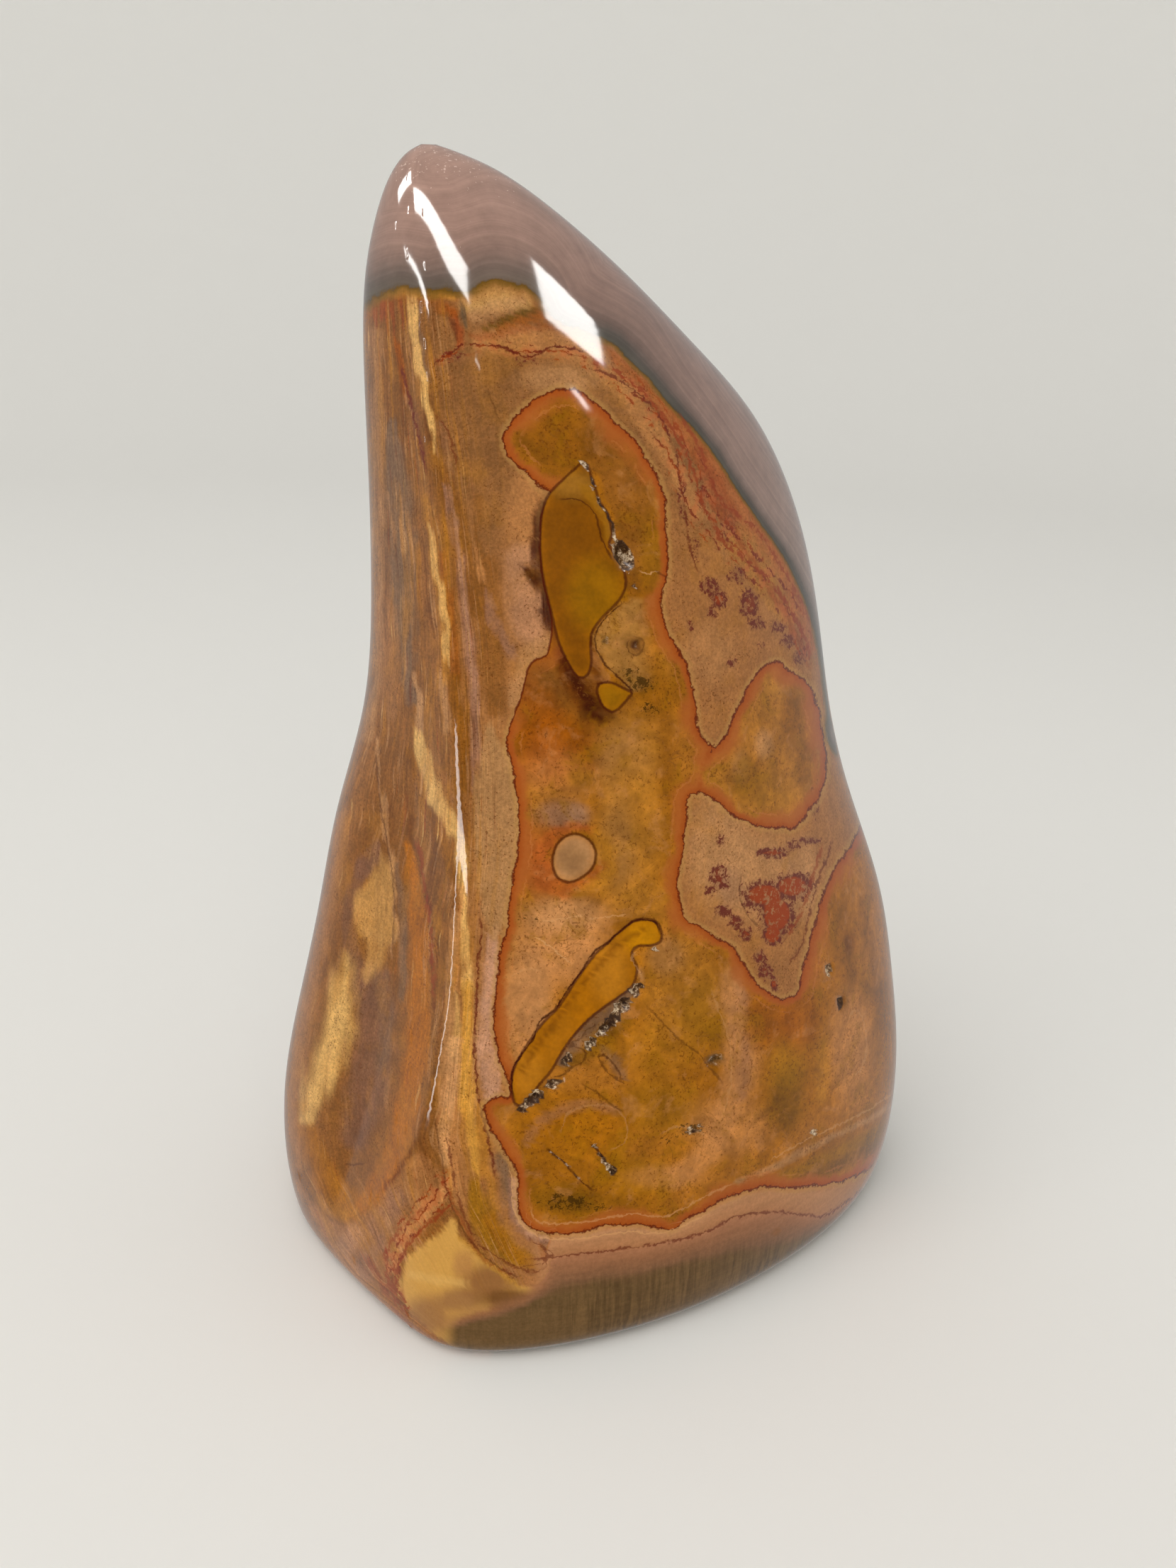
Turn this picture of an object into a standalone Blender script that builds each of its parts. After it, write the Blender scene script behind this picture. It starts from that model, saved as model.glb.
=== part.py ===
"""A freeform of polychrome jasper: one polished stone, like a leaning flame, on a flat foot.

Metres, +Z up. +Y points away from the broad polished face that is seen first. The origin is in
the middle of the stone's box, on the surface that it stands on.
"""

import bpy
import numpy as np

MM = 0.001

# The stone's sections from the foot to the tip, in millimetres. Each gives the height of its
# left end and of its right end, and the points that it reaches to the left, front, right and
# back. The upper sections slant, because the tip leans to the left.
SECTIONS = (
    (0.0, 0.0, (-53.8, -4.0), (-21.0, -42.3), (43.0, 11.0), (-2.0, 33.0)),
    (1.2, 1.2, (-55.9, -4.0), (-21.0, -44.4), (44.8, 11.3), (-2.0, 34.8)),
    (4.5, 4.5, (-57.0, -4.2), (-21.0, -45.5), (46.1, 11.5), (-2.2, 35.8)),
    (12.0, 12.0, (-57.9, -4.5), (-21.3, -45.1), (46.9, 11.5), (-2.5, 36.2)),
    (24.0, 24.0, (-57.5, -4.5), (-21.8, -43.2), (46.3, 11.0), (-3.0, 36.2)),
    (38.0, 38.0, (-54.9, -4.0), (-22.2, -40.6), (43.9, 10.5), (-4.0, 35.6)),
    (54.0, 54.0, (-51.4, -3.5), (-22.4, -37.4), (39.9, 10.0), (-5.5, 34.4)),
    (70.5, 70.0, (-48.1, -3.0), (-22.4, -34.0), (33.5, 9.5), (-7.5, 32.6)),
    (87.0, 85.0, (-43.9, -2.0), (-22.3, -30.8), (28.6, 9.0), (-10.0, 30.4)),
    (104.0, 100.0, (-42.7, -1.0), (-22.3, -27.4), (25.3, 8.5), (-12.5, 28.0)),
    (120.0, 115.0, (-43.1, 0.5), (-22.8, -23.4), (20.9, 8.0), (-15.0, 25.2)),
    (134.0, 129.0, (-43.8, 2.0), (-24.2, -18.6), (13.5, 7.5), (-18.0, 22.4)),
    (145.5, 139.4, (-43.9, 3.5), (-26.2, -13.6), (3.6, 7.0), (-21.5, 19.6)),
    (153.8, 148.5, (-42.7, 4.5), (-28.6, -8.6), (-6.5, 6.6), (-25.5, 16.4)),
    (159.8, 156.3, (-40.8, 5.2), (-31.0, -3.6), (-16.5, 6.2), (-29.2, 13.0)),
    (163.3, 161.6, (-38.5, 5.6), (-33.0, 0.8), (-25.0, 6.0), (-32.2, 9.8)),
    (164.8, 164.2, (-36.2, 5.8), (-34.3, 4.2), (-31.8, 5.9), (-34.1, 7.2)),
)
TIP_HEIGHT = 164.8

# The middle of the stone's box in the sections' own measure, which the origin goes to.
MIDDLE_X = -5.5
MIDDLE_Y = -4.65

# How square each quarter of a section is: 2 is an ellipse, less is pointed, more is boxy.
# The quarters run left to front, front to right, right to back and back to left.
SQUARENESS_AT_FOOT = (1.58, 1.58, 2.3, 2.3)
SQUARENESS_AT_TIP = (2.0, 2.0, 2.1, 2.1)
POINTS_PER_QUARTER = 3
TURN = 4 * POINTS_PER_QUARTER

# The dished hollow beside the broad face: its rim as (x, height), seen from the front.
DISH_RIM = (
    (-30.0, 102.0), (-27.2, 84.0), (-26.9, 67.0), (-27.3, 55.0), (-28.4, 47.5), (-30.0, 39.0),
    (-32.4, 31.5), (-36.0, 24.5), (-40.2, 17.0), (-44.0, 12.6), (-48.2, 12.4), (-51.4, 18.5),
    (-52.8, 28.0), (-52.0, 40.0), (-49.0, 57.0), (-45.2, 74.0), (-41.4, 89.0), (-36.5, 101.0),
)
DISH_DEPTH = 3.2
DISH_SLOPE_LENGTH = 4.5
DISH_SOFT_LENGTH = 12.0
DISH_SOFT_FROM_X = (-50.0, -38.0)
DISH_FADES = (66.0, 104.0)

# Low rolls that run up the stone: points (height, x) of the line, its rise and its half width.
ROLLS = (
    (((14, -23.4), (28, -22.4), (44, -22.9), (55, -22.5), (66, -23.5), (82, -25.4)), 0.7, 1.8),
    (((84, -25.8), (103, -27.5), (116, -29.8), (128, -32.1), (144, -32.8)), 0.5, 2.4),
    (((96, -19.5), (112, -22.4), (128, -25.0), (142, -26.6)), 0.3, 2.2),
)
ROLL_ENDS_OVER = 9.0

# Open pits in the broad face: middle, half length, half width, depth and the way that it runs.
PITS = {
    "pit_upper": ((-6.0, -21.6, 113.4), 2.7, 1.5, 1.5, (-0.35, 0.25, 1.0)),
    "pit_lower": ((-5.4, -35.0, 51.0), 5.6, 1.1, 1.3, (6.6, 3.4, 6.4)),
    "pit_lower_end": ((-14.4, -39.2, 41.4), 4.2, 0.9, 1.1, (6.0, 1.9, 4.0)),
}

# How fine the solid is: columns on the front and on the back, and rings from foot to tip.
FRONT_COLUMNS = 42
BACK_COLUMNS = 22
FRONT_FROM = 0.3
FRONT_TO = 6.0
SIDE_RINGS = 49
FOOT_RINGS = 2


def smooth_step(value, low, high):
    """Goes from 0 at low to 1 at high with no kink."""
    share = np.clip((value - low) / (high - low), 0.0, 1.0)
    return share * share * (3.0 - 2.0 * share)


def quarter_points(start, end, squareness, leaves_along_y):
    """Points from one reach of a section to the next, without the last."""
    corner = (end[0], start[1]) if leaves_along_y else (start[0], end[1])
    points = []
    for step in range(POINTS_PER_QUARTER):
        angle = step * np.pi / (2 * POINTS_PER_QUARTER)
        towards_start = np.cos(angle) ** (2 / squareness)
        towards_end = np.sin(angle) ** (2 / squareness)
        points.append(tuple(
            corner[axis]
            + (start[axis] - corner[axis]) * towards_start
            + (end[axis] - corner[axis]) * towards_end
            for axis in (0, 1)
        ))
    return points


def section_points(section):
    """The twelve points of a section that the surface runs through."""
    left_height, right_height, left, front, right, back = section
    share = 0.5 * (left_height + right_height) / TIP_HEIGHT
    reaches = (left, front, right, back)
    points = []
    for place in range(4):
        low, high = SQUARENESS_AT_FOOT[place], SQUARENESS_AT_TIP[place]
        points += quarter_points(
            reaches[place], reaches[(place + 1) % 4], low + (high - low) * share, place % 2 == 0
        )
    lean = (right_height - left_height) / (right[0] - left[0])
    return [(x, y, left_height + (x - left[0]) * lean) for x, y in points]


def spline_weights(count, places, closed):
    """Weights that draw a smooth cubic curve through count points, at the given places."""
    through = np.zeros((count, count))
    for knot in range(count):
        if closed:
            through[knot, [(knot - 1) % count, knot, (knot + 1) % count]] = (1 / 6, 4 / 6, 1 / 6)
        elif knot in (0, count - 1):
            through[knot, knot] = 1.0
        else:
            through[knot, knot - 1:knot + 2] = (1 / 6, 4 / 6, 1 / 6)
    places = np.asarray(places, dtype=float)
    cell = np.floor(places).astype(int)
    if not closed:
        cell = np.clip(cell, 0, count - 2)
    part = places - cell
    pulls = (
        (1 - part) ** 3 / 6,
        (3 * part ** 3 - 6 * part ** 2 + 4) / 6,
        (-3 * part ** 3 + 3 * part ** 2 + 3 * part + 1) / 6,
        part ** 3 / 6,
    )
    # An open curve runs straight on past its ends, so two more knots stand for that.
    reach = np.zeros((len(places), count + 2))
    rows = np.arange(len(places))
    for step, pull in enumerate(pulls):
        knot = cell + step
        if closed:
            knot = (knot - 1) % count + 1
        np.add.at(reach, (rows, knot), pull)
    weights = reach[:, 1:-1]
    if not closed:
        weights[:, :2] += reach[:, :1] * (2.0, -1.0)
        weights[:, -2:] += reach[:, -1:] * (-1.0, 2.0)
    return weights @ np.linalg.inv(through)


def plain_surface(rises, turns):
    """Points of the stone without its relief, one row for each rise and a column for each turn."""
    knots = np.array([section_points(section) for section in SECTIONS])
    up = spline_weights(len(SECTIONS), rises, closed=False)
    round_it = spline_weights(TURN, turns, closed=True)
    return np.einsum("ri,tj,ijk->rtk", up, round_it, knots)


def depth_inside(x, z, rim):
    """How far each place lies inside a closed rim, and 0 outside it."""
    ahead = np.roll(rim, -1, axis=0)
    nearest = np.full(x.shape, np.inf)
    inside = np.zeros(x.shape, dtype=bool)
    for (ax, az), (bx, bz) in zip(rim, ahead):
        along = ((x - ax) * (bx - ax) + (z - az) * (bz - az)) / ((bx - ax) ** 2 + (bz - az) ** 2)
        along = np.clip(along, 0.0, 1.0)
        away = np.hypot(x - ax - along * (bx - ax), z - az - along * (bz - az))
        nearest = np.minimum(nearest, away)
        if az != bz:
            crosses = ((az > z) != (bz > z)) & (x < ax + (z - az) * (bx - ax) / (bz - az))
            inside ^= crosses
    return np.where(inside, nearest, 0.0)


def dish_relief(x, z):
    """The hollow beside the broad face: a firm edge at the ridge, and soft on the far side."""
    rim = spline_weights(len(DISH_RIM), np.arange(0, len(DISH_RIM), 0.2), closed=True) @ DISH_RIM
    depth = depth_inside(x, z, rim)
    firm = 1.0 - np.exp(-depth / DISH_SLOPE_LENGTH)
    soft = smooth_step(depth, 0.0, DISH_SOFT_LENGTH)
    firmness = smooth_step(x, *DISH_SOFT_FROM_X)
    fade = 1.0 - smooth_step(z, *DISH_FADES)
    return -DISH_DEPTH * fade * (firm * firmness + soft * (1.0 - firmness))


def roll_relief(x, z):
    """The low rolls that run up the stone beside the broad face."""
    relief = np.zeros(x.shape)
    for line, rise, half_width in ROLLS:
        heights, middles = np.array(line, dtype=float).T
        across = (x - np.interp(z, heights, middles)) / half_width
        ends = smooth_step(z, heights[0] - ROLL_ENDS_OVER, heights[0] + ROLL_ENDS_OVER)
        ends *= 1.0 - smooth_step(z, heights[-1] - ROLL_ENDS_OVER, heights[-1] + ROLL_ENDS_OVER)
        relief += rise * ends * np.exp(-across ** 2)
    return relief


def surface(rises, turns):
    """Points of the finished surface in metres, in the stone's own frame."""
    points = plain_surface(rises, turns)
    x, y, z = np.moveaxis(points, 2, 0)
    faces_front = np.asarray(turns)[None, :] % TURN < TURN / 2
    relief = np.where(faces_front, dish_relief(x, z) + roll_relief(x, z), 0.0)
    out_x = x - x.mean(axis=1, keepdims=True)
    out_y = y - y.mean(axis=1, keepdims=True)
    length = np.hypot(out_x, out_y)
    moved = np.stack((x + out_x / length * relief, y + out_y / length * relief, z), axis=2)
    return (moved - (MIDDLE_X, MIDDLE_Y, 0.0)) * MM


def even_rises(count):
    """Places from the foot to the tip at even steps along the surface."""
    fine = np.linspace(0, len(SECTIONS) - 1, 600)
    lines = plain_surface(fine, (0.0, TURN / 4, TURN / 2, 3 * TURN / 4))
    steps = np.linalg.norm(np.diff(lines, axis=0), axis=2).mean(axis=1)
    return np.interp(np.linspace(0, steps.sum(), count), np.append(0, np.cumsum(steps)), fine)


def column_turns():
    """Places round the stone, closer together on its front."""
    front = np.linspace(FRONT_FROM, FRONT_TO, FRONT_COLUMNS, endpoint=False)
    back = np.linspace(FRONT_TO, FRONT_FROM + TURN, BACK_COLUMNS, endpoint=False)
    return np.concatenate((front, back))


def stone_places():
    """Where the vertices of a sphere go: its tip, its rings from top to bottom, and its foot."""
    side = surface(even_rises(SIDE_RINGS), column_turns())[::-1]
    tip = side[0].mean(axis=0)
    tip[2] = TIP_HEIGHT * MM
    contact = side[-1]
    middle = contact.mean(axis=0)
    foot = [middle + (contact - middle) * (1 - ring / FOOT_RINGS) for ring in range(1, FOOT_RINGS)]
    return tip, np.concatenate((side, foot)), middle


def jasper_material():
    """Warm ochre jasper with a high polish."""
    material = bpy.data.materials.new("polished_jasper")
    material.use_nodes = True
    shader = material.node_tree.nodes["Principled BSDF"]
    shader.inputs["Base Color"].default_value = (0.40, 0.19, 0.07, 1.0)
    shader.inputs["Roughness"].default_value = 0.12
    shader.inputs["Metallic"].default_value = 0.0
    return material


def lay_sphere_on_stone(sphere):
    """Moves each vertex of a sphere to its place on the stone, by its ring and its column."""
    tip, rings, foot_middle = stone_places()
    ring_count, column_count = rings.shape[:2]
    for vertex in sphere.data.vertices:
        x, y, z = vertex.co
        ring = round(np.arccos(np.clip(z, -1.0, 1.0)) / np.pi * (ring_count + 1))
        if ring == 0:
            vertex.co = tip
        elif ring == ring_count + 1:
            vertex.co = foot_middle
        else:
            column = round(np.arctan2(y, x) / (2 * np.pi) * column_count) % column_count
            vertex.co = rings[ring - 1, column]


def make_stone(collection):
    """The stone before its pits are cut: a sphere whose rings are the stone's sections."""
    rings = SIDE_RINGS + FOOT_RINGS - 1
    bpy.ops.mesh.primitive_uv_sphere_add(
        segments=FRONT_COLUMNS + BACK_COLUMNS, ring_count=rings + 1, radius=1.0
    )
    stone = bpy.context.object
    stone.name = "jasper_freeform"
    stone.data.name = "jasper_freeform"
    lay_sphere_on_stone(stone)
    stone.data.materials.append(jasper_material())
    stone.data.shade_smooth()
    move_to(stone, collection)
    return stone


def cut_pit(stone, name, pit, cutters):
    """Cuts one open pit with a long round cutter that lies in the surface."""
    middle, half_length, half_width, depth, way = pit
    along = np.array(way) / np.linalg.norm(way)
    inward = np.cross(along, np.cross((0.0, 1.0, 0.0), along))
    inward /= np.linalg.norm(inward)
    across = np.cross(inward, along)
    bpy.ops.mesh.primitive_ico_sphere_add(subdivisions=2, radius=1.0)
    cutter = bpy.context.object
    cutter.name = name
    place = (np.array(middle) - (MIDDLE_X, MIDDLE_Y, 0.0)) * MM
    for vertex in cutter.data.vertices:
        x, y, z = vertex.co
        reach = along * x * half_length + across * y * half_width + inward * z * depth
        vertex.co = place + reach * MM
    cutter.hide_render = True
    cutter.display_type = "WIRE"
    move_to(cutter, cutters)
    cut = stone.modifiers.new(name, "BOOLEAN")
    cut.operation = "DIFFERENCE"
    cut.object = cutter


def move_to(obj, collection):
    """Keeps an object in one collection only."""
    for other in list(obj.users_collection):
        other.objects.unlink(obj)
    collection.objects.link(obj)


def new_collection(name):
    collection = bpy.data.collections.new(name)
    bpy.context.scene.collection.children.link(collection)
    return collection


def main():
    for obj in list(bpy.data.objects):
        bpy.data.objects.remove(obj)
    stone_collection = new_collection("polychrome_jasper_freeform")
    cutters = new_collection("cutters")
    stone = make_stone(stone_collection)
    for name, pit in PITS.items():
        cut_pit(stone, name, pit, cutters)


main()
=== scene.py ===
"""The looks of the polychrome jasper freeform: its polish, its bands and rims, and its open pits.

Metres, +Z up, in the part's own frame. The stone's surface is the one that its sections give, made
finer here. Markings on the broad face were traced and are held in pixels of the 1659 by
2212 photograph, because the camera stands where the photograph was taken from. The markings that
it doesn't show are held in millimetres round the back.
"""

import bpy
import numpy as np
from mathutils import Euler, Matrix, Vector


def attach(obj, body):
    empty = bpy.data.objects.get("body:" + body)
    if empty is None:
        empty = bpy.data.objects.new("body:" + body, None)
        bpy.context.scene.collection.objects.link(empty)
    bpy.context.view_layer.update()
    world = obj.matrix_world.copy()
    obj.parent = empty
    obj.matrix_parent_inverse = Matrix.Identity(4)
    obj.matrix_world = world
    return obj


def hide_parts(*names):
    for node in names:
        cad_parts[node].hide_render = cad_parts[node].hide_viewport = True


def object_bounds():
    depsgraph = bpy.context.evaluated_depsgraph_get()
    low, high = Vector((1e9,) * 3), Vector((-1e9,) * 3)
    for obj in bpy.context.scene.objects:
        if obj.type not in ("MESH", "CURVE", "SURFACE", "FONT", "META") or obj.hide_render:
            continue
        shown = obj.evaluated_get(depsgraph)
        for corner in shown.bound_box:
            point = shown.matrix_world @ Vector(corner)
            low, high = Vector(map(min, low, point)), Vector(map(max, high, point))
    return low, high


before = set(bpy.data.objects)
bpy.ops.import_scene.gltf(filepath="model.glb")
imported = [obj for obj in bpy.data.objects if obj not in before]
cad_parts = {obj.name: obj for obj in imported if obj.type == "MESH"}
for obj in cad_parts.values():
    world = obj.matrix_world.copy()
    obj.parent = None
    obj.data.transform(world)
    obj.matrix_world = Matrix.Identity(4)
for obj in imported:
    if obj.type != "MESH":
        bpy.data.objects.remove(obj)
cad_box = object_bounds()
bpy.ops.object.select_all(action="DESELECT")

MM = 0.001

# The photograph's camera.
PHOTO_WIDTH = 1659
PHOTO_HEIGHT = 2212
FOCAL_LENGTH_PX = 1983.0
CAMERA_PLACE = (-0.00418585, -0.20358846, 0.14823491)
CAMERA_TURN = (1.2246, -0.0347, 0.0125)
SENSOR = 36.0
PX_PER_MM = 8.8

# The stone's sections from the foot to the tip, in millimetres: the height of the left end and of
# the right end, and how far each section reaches to the left, front, right and back.
SECTIONS = (
    (0.0, 0.0, (-53.8, -4.0), (-21.0, -42.3), (43.0, 11.0), (-2.0, 33.0)),
    (1.2, 1.2, (-55.9, -4.0), (-21.0, -44.4), (44.8, 11.3), (-2.0, 34.8)),
    (4.5, 4.5, (-57.0, -4.2), (-21.0, -45.5), (46.1, 11.5), (-2.2, 35.8)),
    (12.0, 12.0, (-57.9, -4.5), (-21.3, -45.1), (46.9, 11.5), (-2.5, 36.2)),
    (24.0, 24.0, (-57.5, -4.5), (-21.8, -43.2), (46.3, 11.0), (-3.0, 36.2)),
    (38.0, 38.0, (-54.9, -4.0), (-22.2, -40.6), (43.9, 10.5), (-4.0, 35.6)),
    (54.0, 54.0, (-51.4, -3.5), (-22.4, -37.4), (39.9, 10.0), (-5.5, 34.4)),
    (70.5, 70.0, (-48.1, -3.0), (-22.4, -34.0), (33.5, 9.5), (-7.5, 32.6)),
    (87.0, 85.0, (-43.9, -2.0), (-22.3, -30.8), (28.6, 9.0), (-10.0, 30.4)),
    (104.0, 100.0, (-42.7, -1.0), (-22.3, -27.4), (25.3, 8.5), (-12.5, 28.0)),
    (120.0, 115.0, (-43.1, 0.5), (-22.8, -23.4), (20.9, 8.0), (-15.0, 25.2)),
    (134.0, 129.0, (-43.8, 2.0), (-24.2, -18.6), (13.5, 7.5), (-18.0, 22.4)),
    (145.5, 139.4, (-43.9, 3.5), (-26.2, -13.6), (3.6, 7.0), (-21.5, 19.6)),
    (153.8, 148.5, (-42.7, 4.5), (-28.6, -8.6), (-6.5, 6.6), (-25.5, 16.4)),
    (159.8, 156.3, (-40.8, 5.2), (-31.0, -3.6), (-16.5, 6.2), (-29.2, 13.0)),
    (163.3, 161.6, (-38.5, 5.6), (-33.0, 0.8), (-25.0, 6.0), (-32.2, 9.8)),
    (164.8, 164.2, (-36.2, 5.8), (-34.3, 4.2), (-31.8, 5.9), (-34.1, 7.2)),
)
TIP_HEIGHT = 164.8
MIDDLE_X = -5.5
MIDDLE_Y = -4.65

# How square each quarter of a section is, left to front, front to right and so on round.
SQUARENESS_AT_FOOT = (1.58, 1.58, 2.3, 2.3)
SQUARENESS_AT_TIP = (2.0, 2.0, 2.1, 2.1)
POINTS_PER_QUARTER = 3
TURN = 4 * POINTS_PER_QUARTER

# The dished hollow beside the broad face: its rim as (x, height), seen from the front.
DISH_RIM = (
    (-30.0, 102.0), (-27.2, 84.0), (-26.9, 67.0), (-27.3, 55.0), (-28.4, 47.5), (-30.0, 39.0),
    (-32.4, 31.5), (-36.0, 24.5), (-40.2, 17.0), (-44.0, 12.6), (-48.2, 12.4), (-51.4, 18.5),
    (-52.8, 28.0), (-52.0, 40.0), (-49.0, 57.0), (-45.2, 74.0), (-41.4, 89.0), (-36.5, 101.0),
)
DISH_DEPTH = 3.2
DISH_SLOPE_LENGTH = 4.5
DISH_EDGE_ROUNDING = 0.9
DISH_SOFT_LENGTH = 12.0
DISH_SOFT_FROM_X = (-50.0, -38.0)
DISH_FADES = (66.0, 104.0)
DISH_RIM_STEP = 0.2

# Low rolls that run up the stone: points (height, x) of the line, its rise and its half width.
ROLLS = (
    (((14, -23.4), (28, -22.4), (44, -22.9), (55, -22.5), (66, -23.5), (82, -25.4)), 0.7, 1.8),
    (((84, -25.8), (103, -27.5), (116, -29.8), (128, -32.1), (144, -32.8)), 0.5, 2.4),
    (((96, -19.5), (112, -22.4), (128, -25.0), (142, -26.6)), 0.3, 2.2),
)
ROLL_ENDS_OVER = 9.0

# How fine the stone is made: columns on the front and on the back, and rings.
FRONT_COLUMNS = 250
BACK_COLUMNS = 84
FRONT_FROM = 0.3
FRONT_TO = 6.0
SIDE_RINGS = 284
FOOT_RINGS = 4
FINE_STEPS = 600


def smooth_step(value, low, high):
    """Goes from 0 at low to 1 at high with no kink."""
    share = np.clip((value - low) / (high - low), 0.0, 1.0)
    return share * share * (3.0 - 2.0 * share)


def fades(value, low, high):
    """Goes from 1 at low to 0 at high with no kink."""
    return 1.0 - smooth_step(value, low, high)


def quarter_points(start, end, squareness, leaves_along_y):
    """Points from one reach of a section to the next, without the last."""
    corner = (end[0], start[1]) if leaves_along_y else (start[0], end[1])
    points = []
    for step in range(POINTS_PER_QUARTER):
        angle = step * np.pi / (2 * POINTS_PER_QUARTER)
        towards_start = np.cos(angle) ** (2 / squareness)
        towards_end = np.sin(angle) ** (2 / squareness)
        points.append(tuple(
            corner[axis]
            + (start[axis] - corner[axis]) * towards_start
            + (end[axis] - corner[axis]) * towards_end
            for axis in (0, 1)
        ))
    return points


def section_points(section):
    """The twelve points of a section that the surface runs through."""
    left_height, right_height, left, front, right, back = section
    share = 0.5 * (left_height + right_height) / TIP_HEIGHT
    reaches = (left, front, right, back)
    points = []
    for place in range(4):
        low, high = SQUARENESS_AT_FOOT[place], SQUARENESS_AT_TIP[place]
        points += quarter_points(
            reaches[place], reaches[(place + 1) % 4], low + (high - low) * share, place % 2 == 0
        )
    lean = (right_height - left_height) / (right[0] - left[0])
    return [(x, y, left_height + (x - left[0]) * lean) for x, y in points]


def spline_weights(count, places, closed):
    """Weights that draw a smooth cubic curve through count points, at the given places."""
    through = np.zeros((count, count))
    for knot in range(count):
        if closed:
            through[knot, [(knot - 1) % count, knot, (knot + 1) % count]] = (1 / 6, 4 / 6, 1 / 6)
        elif knot in (0, count - 1):
            through[knot, knot] = 1.0
        else:
            through[knot, knot - 1:knot + 2] = (1 / 6, 4 / 6, 1 / 6)
    places = np.asarray(places, dtype=float)
    cell = np.floor(places).astype(int)
    if not closed:
        cell = np.clip(cell, 0, count - 2)
    part = places - cell
    pulls = (
        (1 - part) ** 3 / 6,
        (3 * part ** 3 - 6 * part ** 2 + 4) / 6,
        (-3 * part ** 3 + 3 * part ** 2 + 3 * part + 1) / 6,
        part ** 3 / 6,
    )
    # An open curve runs straight on past its ends, so two more knots stand for that.
    reach = np.zeros((len(places), count + 2))
    rows = np.arange(len(places))
    for step, pull in enumerate(pulls):
        knot = cell + step
        if closed:
            knot = (knot - 1) % count + 1
        np.add.at(reach, (rows, knot), pull)
    weights = reach[:, 1:-1]
    if not closed:
        weights[:, :2] += reach[:, :1] * (2.0, -1.0)
        weights[:, -2:] += reach[:, -1:] * (-1.0, 2.0)
    return weights @ np.linalg.inv(through)


def plain_surface(rises, turns):
    """Points of the stone without its relief, one row for each rise and a column for each turn."""
    knots = np.array([section_points(section) for section in SECTIONS])
    up = spline_weights(len(SECTIONS), rises, closed=False)
    round_it = spline_weights(TURN, turns, closed=True)
    return np.einsum("ri,tj,ijk->rtk", up, round_it, knots)


def nearest_on_line(line, x, y):
    """How far each place is from a line, which side it is on, and how far along the line."""
    steps = np.hypot(*np.diff(line, axis=0).T)
    before = np.append(0.0, np.cumsum(steps))
    best = np.full(x.shape, np.inf)
    side = np.zeros(x.shape)
    along = np.zeros(x.shape)
    for number, (ax, ay) in enumerate(line[:-1]):
        dx, dy = line[number + 1] - line[number]
        share = np.clip(((x - ax) * dx + (y - ay) * dy) / max(dx * dx + dy * dy, 1e-9), 0.0, 1.0)
        away_x, away_y = x - ax - share * dx, y - ay - share * dy
        squared = away_x ** 2 + away_y ** 2
        nearer = squared < best
        best = np.where(nearer, squared, best)
        side = np.where(nearer, np.sign(dx * away_y - dy * away_x), side)
        along = np.where(nearer, before[number] + share * steps[number], along)
    return np.sqrt(best), side, along / before[-1]


def is_inside(outline, x, y):
    """Which places lie inside a closed outline."""
    inside = np.zeros(x.shape, dtype=bool)
    ahead = np.roll(outline, -1, axis=0)
    for (ax, ay), (bx, by) in zip(outline, ahead):
        if ay != by:
            inside ^= ((ay > y) != (by > y)) & (x < ax + (y - ay) * (bx - ax) / (by - ay))
    return inside


def curve_through(points, closed=False, steps=4):
    """A smooth line through given points, which doesn't swing out between them."""
    points = np.array(points, dtype=float)
    if closed:
        ringed = np.concatenate((points[-1:], points, points[:2]))
    else:
        ringed = np.concatenate((2 * points[:1] - points[1:2], points, 2 * points[-1:] - points[-2:-1]))
    share = np.linspace(0.0, 1.0, steps, endpoint=False)[:, None]
    line = []
    for a, b, c, d in zip(ringed[:-3], ringed[1:-2], ringed[2:-1], ringed[3:]):
        line.append(0.5 * (
            2 * b + (c - a) * share + (2 * a - 5 * b + 4 * c - d) * share ** 2
            + (3 * b - a - 3 * c + d) * share ** 3
        ))
    line = np.concatenate(line)
    return line if closed else np.concatenate((line, points[-1:]))


def depth_in(outline, x, y):
    """How deep each place lies in a smooth closed outline, and less than 0 outside it."""
    line = curve_through(outline, closed=True)
    distance, _, _ = nearest_on_line(np.concatenate((line, line[:1])), x, y)
    return np.where(is_inside(line, x, y), distance, -distance)


def dish_relief(x, z):
    """The hollow beside the broad face: a firm edge at the ridge, and soft on the far side."""
    steps = np.arange(0, len(DISH_RIM), DISH_RIM_STEP)
    rim = spline_weights(len(DISH_RIM), steps, closed=True) @ DISH_RIM
    distance, _, _ = nearest_on_line(np.concatenate((rim, rim[:1])), x, z)
    depth = np.where(is_inside(rim, x, z), distance, 0.0)
    rounded = np.hypot(depth, DISH_EDGE_ROUNDING) - DISH_EDGE_ROUNDING
    firm = 1.0 - np.exp(-rounded / DISH_SLOPE_LENGTH)
    soft = smooth_step(depth, 0.0, DISH_SOFT_LENGTH)
    firmness = smooth_step(x, *DISH_SOFT_FROM_X)
    fade = fades(z, *DISH_FADES)
    return -DISH_DEPTH * fade * (firm * firmness + soft * (1.0 - firmness))


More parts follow.
